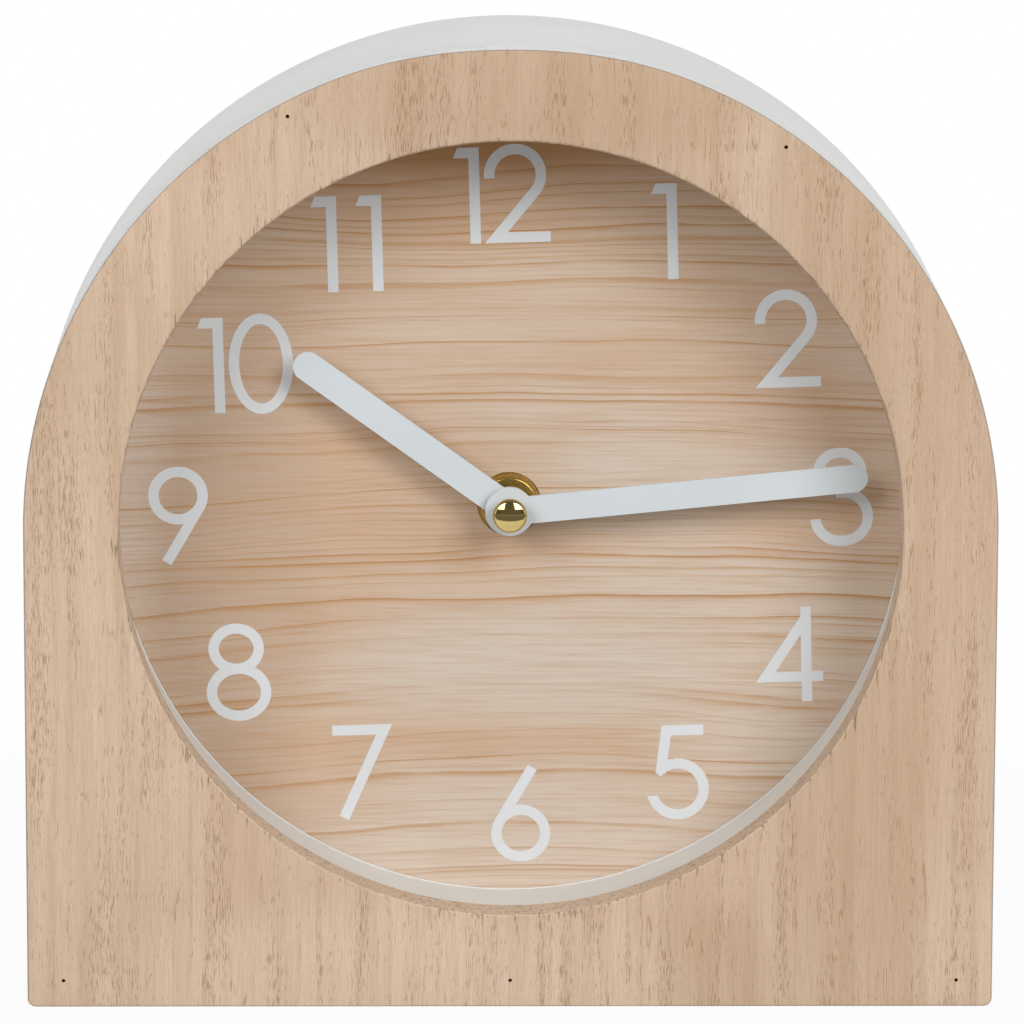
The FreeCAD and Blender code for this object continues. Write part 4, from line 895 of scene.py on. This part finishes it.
class CLOCK_OT_wooden_face(PieceOperator, bpy.types.Operator):
    """Make the wooden face panel with its round hole"""

    bl_idname = "clock.wooden_face"
    bl_label = "Wooden Face"

    def make(self, sizes, colours):
        front, back = FACE_LOW.y, FACE_HIGH.y
        bm = bmesh.new()
        edge = rounding(sizes.face_edge)
        outline, hole = [arch_loop(bm, 0, back)], [circle_loop(bm, sizes.hole_radius, back)]
        outline += [arch_loop(bm, inset, front + setback) for inset, setback in edge]
        for inset, setback in edge:
            hole.append(circle_loop(bm, sizes.hole_radius + inset, front + setback))
        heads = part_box("face_brads")[0].y
        holes, mouths = [], []
        for place in self.brad_places(sizes):
            width, radius = sizes.brad_hole, sizes.brad_mouth
            holes.append([square_loop(bm, place, width, depth) for depth in (back, heads)])
            round_loops = [
                circle_loop(bm, radius, depth, place, MOUTH_STEPS) for depth in (heads, front)
            ]
            mouths.append(round_loops)
        for ring in (outline, hole, *holes, *mouths):
            walls(bm, ring)
        for square, mouth in zip(holes, mouths):
            flat(bm, [square[-1], mouth[0]])
        flat(bm, [ring[0] for ring in (outline, hole, *holes)])
        flat(bm, [ring[-1] for ring in (outline, hole, *mouths)])
        finished("wooden_face", bm, face_wood(), "case", ["face_panel"])
        dress("face_brads", polished_metal("brad_steel", (0.035, 0.022, 0.018), 0.6))

    def brad_places(self, sizes):
        """Three brads along the foot and two round the arch."""
        side = HALF_WIDTH - sizes.brad_inset
        places = [Vector((x, 0, sizes.brad_height)) for x in (-side, 0, side)]
        for angle in BRAD_ANGLES:
            turn = Matrix.Rotation(math.radians(-angle), 3, "Y")
            places.append(CENTRE + turn @ Vector((HALF_WIDTH - sizes.brad_rim, 0, 0)))
        return places


class CLOCK_OT_white_case(PieceOperator, bpy.types.Operator):
    """Make the painted case with its bore and the pocket at its back"""

    bl_idname = "clock.white_case"
    bl_label = "White Case"

    def make(self, sizes, colours):
        front, back, floor = CASE_LOW.y, CASE_HIGH.y, DIAL_HIGH.y
        bm = bmesh.new()
        outline = [arch_loop(bm, 0, front)]
        for inset, setback in rounding(sizes.case_edge):
            outline.append(arch_loop(bm, inset, back - setback))
        gap, dial_front = sizes.seat_gap, DIAL_LOW.y
        seat = DIAL_HIGH.x + gap
        bore = [circle_loop(bm, sizes.bore_radius, depth) for depth in (front, dial_front)]
        bore += [circle_loop(bm, seat, depth) for depth in (dial_front + gap, floor)]
        pocket = [pocket_loop(bm, depth) for depth in (floor, back)]
        for ring in (outline, bore, pocket):
            walls(bm, ring)
        for loops in ((outline[0], bore[0]), (bore[-1], pocket[0]), (pocket[1], outline[-1])):
            flat(bm, loops)
        finish = satin_paint("white_paint", colours.paint, 0.45, 0.9)
        finished("white_case", bm, finish, "case", ["case_body"])


class CLOCK_OT_dial(PieceOperator, bpy.types.Operator):
    """Finish the dial board and print its twelve numerals"""

    bl_idname = "clock.dial"
    bl_label = "Dial and Numerals"

    def make(self, sizes, colours):
        dress("dial_board", dial_wood())
        ink = satin_paint("printed_white", colours.ink, 0.5, 2.0)
        for text in NUMERAL_PLACES:
            make_numeral(text, ink)


class CLOCK_OT_hands(PieceOperator, bpy.types.Operator):
    """Paint the two hands"""

    bl_idname = "clock.hands"
    bl_label = "Hands"

    def make(self, sizes, colours):
        paint = satin_paint("white_metal", colours.hands, 0.32, 1.5)
        for node in ("hour_hand", "minute_hand"):
            dress(node, paint)


class CLOCK_OT_hub(PieceOperator, bpy.types.Operator):
    """Make the brass cap, the round nut and the washer at the middle of the dial"""

    bl_idname = "clock.hub"
    bl_label = "Brass Hub"

    def make(self, sizes, colours):
        self.cap(polished_metal("polished_brass", colours.brass, 0.07))
        nut_brass = polished_metal("lacquered_brass", colours.nut_brass, 0.24)
        self.nut(nut_brass)
        for node in ("plain_washer", "threaded_bush", "minute_pipe"):
            dress(node, nut_brass)

    def cap(self, finish):
        """A blind bore, a neck, a step out, a tapered skirt and a dome with a round brim."""
        low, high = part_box("cap_nut")
        radius = (high.x - low.x) / 2 / MM
        slope, draft = math.radians(CAP_SLOPE), math.radians(CAP_DRAFT)
        crown = (radius - CAP_BRIM * (1 - math.sin(slope))) / math.sin(slope)
        dome = CAP_BRIM * (math.cos(slope) + math.sin(draft)) + crown * (1 - math.cos(slope))
        skirt = CAP_REACH - CAP_NECK_LENGTH - dome
        foot = radius - CAP_BRIM * (1 - math.cos(draft)) - skirt * math.tan(draft)
        bm = bmesh.new()
        turned_piece(bm, (0, CAP_BORE_DEPTH), 0, [
            ("go", CAP_BORE), ("turn", -90), ("go", CAP_BORE_DEPTH), ("turn", 90),
            ("go", CAP_NECK - CAP_BORE), ("turn", 90), ("go", CAP_NECK_LENGTH), ("turn", -90),
            ("go", foot - CAP_NECK), ("turn", 90 - CAP_DRAFT), ("go", skirt / math.cos(draft)),
            ("bend", CAP_BRIM, 90 - CAP_SLOPE + CAP_DRAFT, 16), ("bend", crown, CAP_SLOPE, 20),
        ])
        set_on_dial(bm, high.y)
        finished("brass_cap", bm, finish, "minute", ["cap_nut"])

    def nut(self, finish):
        """A round nut with a low rim and a cone up to a rounded edge."""
        low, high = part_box("ring_nut")
        outer = (high.x - low.x) / 2 / MM
        bm = bmesh.new()
        turned_piece(bm, (NUT_BORE, 0), 0, [
            ("go", outer - NUT_BORE - NUT_FOOT_EDGE), ("bend", NUT_FOOT_EDGE, 90, 4),
            ("go", NUT_RIM), ("turn", NUT_LEAN), ("go", NUT_CONE),
            ("bend", NUT_EDGE, NUT_EDGE_SWEEP, 10), ("turn", 90 - NUT_LEAN - NUT_EDGE_SWEEP),
        ], closed=True)
        set_on_dial(bm, high.y)
        finished("round_nut", bm, finish, "case", ["ring_nut"])


class CLOCK_OT_movement(PieceOperator, bpy.types.Operator):
    """Finish the quartz movement, its cell and its contacts"""

    bl_idname = "clock.movement"
    bl_label = "Movement"

    def make(self, sizes, colours):
        black = moulded_plastic("black_plastic", (0.022, 0.023, 0.025))
        white = moulded_plastic("white_plastic", (0.72, 0.71, 0.66), 0.38)
        steel = polished_metal("soft_iron", (0.45, 0.45, 0.44), 0.35)
        plated = polished_metal("contact_metal", (0.72, 0.71, 0.68), 0.2)
        rubber = moulded_plastic("black_rubber", (0.018, 0.018, 0.018), 0.75, 3.0)
        magnet = polished_metal("magnet", (0.16, 0.16, 0.17), 0.4)
        laminate = moulded_plastic("board_laminate", (0.30, 0.19, 0.06), 0.4, 4.0)
        for finish, nodes in (
            (rubber, "rubber_washer"),
            (magnet, "rotor_magnet"),
            (wound_wire(), "coil_winding"),
            (laminate, "circuit_board"),
            (cell_sleeve(), "battery"),
            (black, "movement_case movement_cover setting_knob coil_bobbin timing_chip"),
            (white, "hour_wheel motion_wheel setting_gear centre_wheel third_wheel"),
            (white, "second_wheel fifth_wheel rotor"),
            (steel, "stator coil_core"),
            (plated, "positive_contact negative_contact quartz_crystal"),
        ):
            for node in nodes.split():
                dress(node, finish)


# --- stage ---
CAMERA_PLACE = Vector((-0.01812, -1.43905, 0.35626))
CAMERA_PITCH = 10.140     # degrees down
CAMERA_YAW = 0.743        # degrees towards +X
CAMERA_ROLL = 0.136
SENSOR = 36.0
LENS = 245.77

SOFTBOXES = {             # place, width and height in metres, and power in watts
    "softbox_left": ((-1.0, -1.75, 1.0), (0.95, 0.95), 17.4),
    "softbox_right": ((0.95, -1.75, 1.0), (0.95, 0.95), 23.4),
    "rim_left": ((-1.3, 0.6, 1.1), (1.0, 1.0), 5.6),
    "rim_right": ((1.3, 0.6, 1.1), (1.0, 1.0), 5.2),
}
WORLD_LIGHT = 0.30
FLOOR_COLOUR = (0.45, 0.45, 0.45)
FLAGS = {                 # width and height, place in metres, turn in degrees, and grey
    "front_flag": ((7.0, 3.0), (0, -2.6, 1.5), 90, 0.34),
    "top_flag": ((7.0, 3.4), (0, -0.9, 2.9), 0, 0.75),
    "table_edge": ((7.0, 2.4), (0, -1.44, 0.001), 0, 0.20),
}
FLOOR_SIZE = (12, 12)
# The floor is nearly white to the camera at the clock's foot and plain white from some way off:
# the two distances in metres, and how white it is there.
FLOOR_GLOW = (0.10, 0.42, 0.955, 1.0)
SIGHT = 20                # how far the camera sees, in metres


def white_to_camera(tree, plain, white):
    """Shows white instead of a plain shader to the rays that look at the background."""
    path = tree.nodes.new("ShaderNodeLightPath")
    seen = path.outputs["Is Camera Ray"]
    for name in ("Is Glossy Ray", "Is Transmission Ray"):
        either = tree.nodes.new("ShaderNodeMath")
        either.operation = "MAXIMUM"
        tree.links.new(seen, either.inputs[0])
        tree.links.new(path.outputs[name], either.inputs[1])
        seen = either.outputs[0]
    mixed = tree.nodes.new("ShaderNodeMixShader")
    tree.links.new(seen, mixed.inputs[0])
    tree.links.new(plain, mixed.inputs[1])
    tree.links.new(white, mixed.inputs[2])
    return mixed.outputs[0]


def matt(name, colour, roughness):
    return Finish(name, Base_Color=colour, Roughness=roughness, Specular_IOR_Level=0.0)


def flat_card(name, size, place, turn, finish):
    bm = bmesh.new()
    bmesh.ops.create_grid(bm, x_segments=1, y_segments=1, size=1)
    bmesh.ops.scale(bm, verts=bm.verts, vec=(size[0] / 2, size[1] / 2, 1))
    bmesh.ops.rotate(bm, verts=bm.verts, cent=(0, 0, 0), matrix=Matrix.Rotation(turn, 3, "X"))
    bmesh.ops.translate(bm, verts=bm.verts, vec=place)
    card = made_object(name, bm)
    card.data.materials.append(finish)
    return card


class CLOCK_OT_studio(bpy.types.Operator):
    """Set up the floor, the soft lights, the world and the camera"""

    bl_idname = "clock.studio"
    bl_label = "Studio"
    bl_options = {"REGISTER", "UNDO"}

    def execute(self, context):
        self.floor()
        self.flags()
        self.lights()
        self.world(context.scene)
        self.camera(context.scene)
        context.scene.view_settings.view_transform = "Standard"
        return {"FINISHED"}

    def floor(self):
        paper = matt("floor_paper", FLOOR_COLOUR, 0.9)
        plain = paper.shader.outputs[0]
        glow = paper.node("ShaderNodeEmission", {"Strength": 1.0}).outputs[0]
        far = paper.node("ShaderNodeVectorMath", {0: paper.place}, operation="LENGTH")
        share = paper.between(far.outputs["Value"], *FLOOR_GLOW)
        soft = paper.node("ShaderNodeMixShader", {0: share, 1: plain, 2: glow}).outputs[0]
        shown = white_to_camera(paper.tree, plain, soft)
        paper.feed(paper.tree.nodes["Material Output"].inputs["Surface"], shown)
        flat_card("floor", FLOOR_SIZE, (0, 0, 0), 0, paper.material)

    def flags(self):
        """Grey cards that only reflections see, as the dim parts of a studio."""
        for name, (size, place, turn, grey) in FLAGS.items():
            cloth = matt(name, (grey, grey, grey), 1.0)
            card = flat_card(name, size, place, math.radians(turn), cloth.material)
            for ray in ("camera", "diffuse", "shadow", "transmission"):
                setattr(card, f"visible_{ray}", False)

    def lights(self):
        for name, (place, size, power) in SOFTBOXES.items():
            lamp = bpy.data.lights.new(name, "AREA")
            lamp.shape = "RECTANGLE"
            lamp.size, lamp.size_y = size
            lamp.energy = power
            holder = bpy.data.objects.new(name, lamp)
            holder.location = place
            aim = CENTRE - holder.location
            holder.rotation_euler = aim.to_track_quat("-Z", "Y").to_euler()
            bpy.context.scene.collection.objects.link(holder)

    def world(self, scene):
        world = bpy.data.worlds.new("studio")
        scene.world = world
        world.use_nodes = True
        tree = world.node_tree
        plain = tree.nodes["Background"]
        plain.inputs["Color"].default_value = (1, 1, 1, 1)
        plain.inputs["Strength"].default_value = WORLD_LIGHT
        white = tree.nodes.new("ShaderNodeBackground")
        white.inputs["Color"].default_value = (1, 1, 1, 1)
        shown = white_to_camera(tree, plain.outputs[0], white.outputs[0])
        tree.links.new(shown, tree.nodes["World Output"].inputs["Surface"])

    def camera(self, scene):
        data = bpy.data.cameras.new("camera")
        data.sensor_width = SENSOR
        data.lens = LENS
        data.clip_end = SIGHT
        camera = bpy.data.objects.new("camera", data)
        upright = Matrix.Rotation(math.radians(90 - CAMERA_PITCH), 4, "X")
        heading = Matrix.Rotation(math.radians(-CAMERA_YAW), 4, "Z")
        roll = Matrix.Rotation(math.radians(CAMERA_ROLL), 4, "Z")
        camera.matrix_world = Matrix.Translation(CAMERA_PLACE) @ heading @ upright @ roll
        scene.collection.objects.link(camera)
        scene.camera = camera


# --- panel and registration ---
OPERATORS = (
    CLOCK_OT_wooden_face,
    CLOCK_OT_white_case,
    CLOCK_OT_dial,
    CLOCK_OT_hands,
    CLOCK_OT_hub,
    CLOCK_OT_movement,
    CLOCK_OT_studio,
)


class CLOCK_PT_pieces(bpy.types.Panel):
    bl_label = "Arch Table Clock"
    bl_idname = "CLOCK_PT_pieces"
    bl_space_type = "VIEW_3D"
    bl_region_type = "UI"
    bl_category = "Clock"

    def draw(self, context):
        for group in (context.scene.clock_sizes, context.scene.clock_colours):
            box = self.layout.box()
            for name in group.__annotations__:
                box.prop(group, name)
        for operator in OPERATORS:
            self.layout.operator(operator.bl_idname)


CLASSES = (ClockSizes, ClockColours, *OPERATORS, CLOCK_PT_pieces)


def register():
    for item in CLASSES:
        bpy.utils.register_class(item)
    bpy.types.Scene.clock_sizes = bpy.props.PointerProperty(type=ClockSizes)
    bpy.types.Scene.clock_colours = bpy.props.PointerProperty(type=ClockColours)


def unregister():
    del bpy.types.Scene.clock_colours
    del bpy.types.Scene.clock_sizes
    for item in reversed(CLASSES):
        bpy.utils.unregister_class(item)


def main():
    register()
    bpy.ops.clock.wooden_face()
    bpy.ops.clock.white_case()
    bpy.ops.clock.dial()
    bpy.ops.clock.hands()
    bpy.ops.clock.hub()
    bpy.ops.clock.movement()
    bpy.ops.clock.studio()


if __name__ == "__main__":
    main()
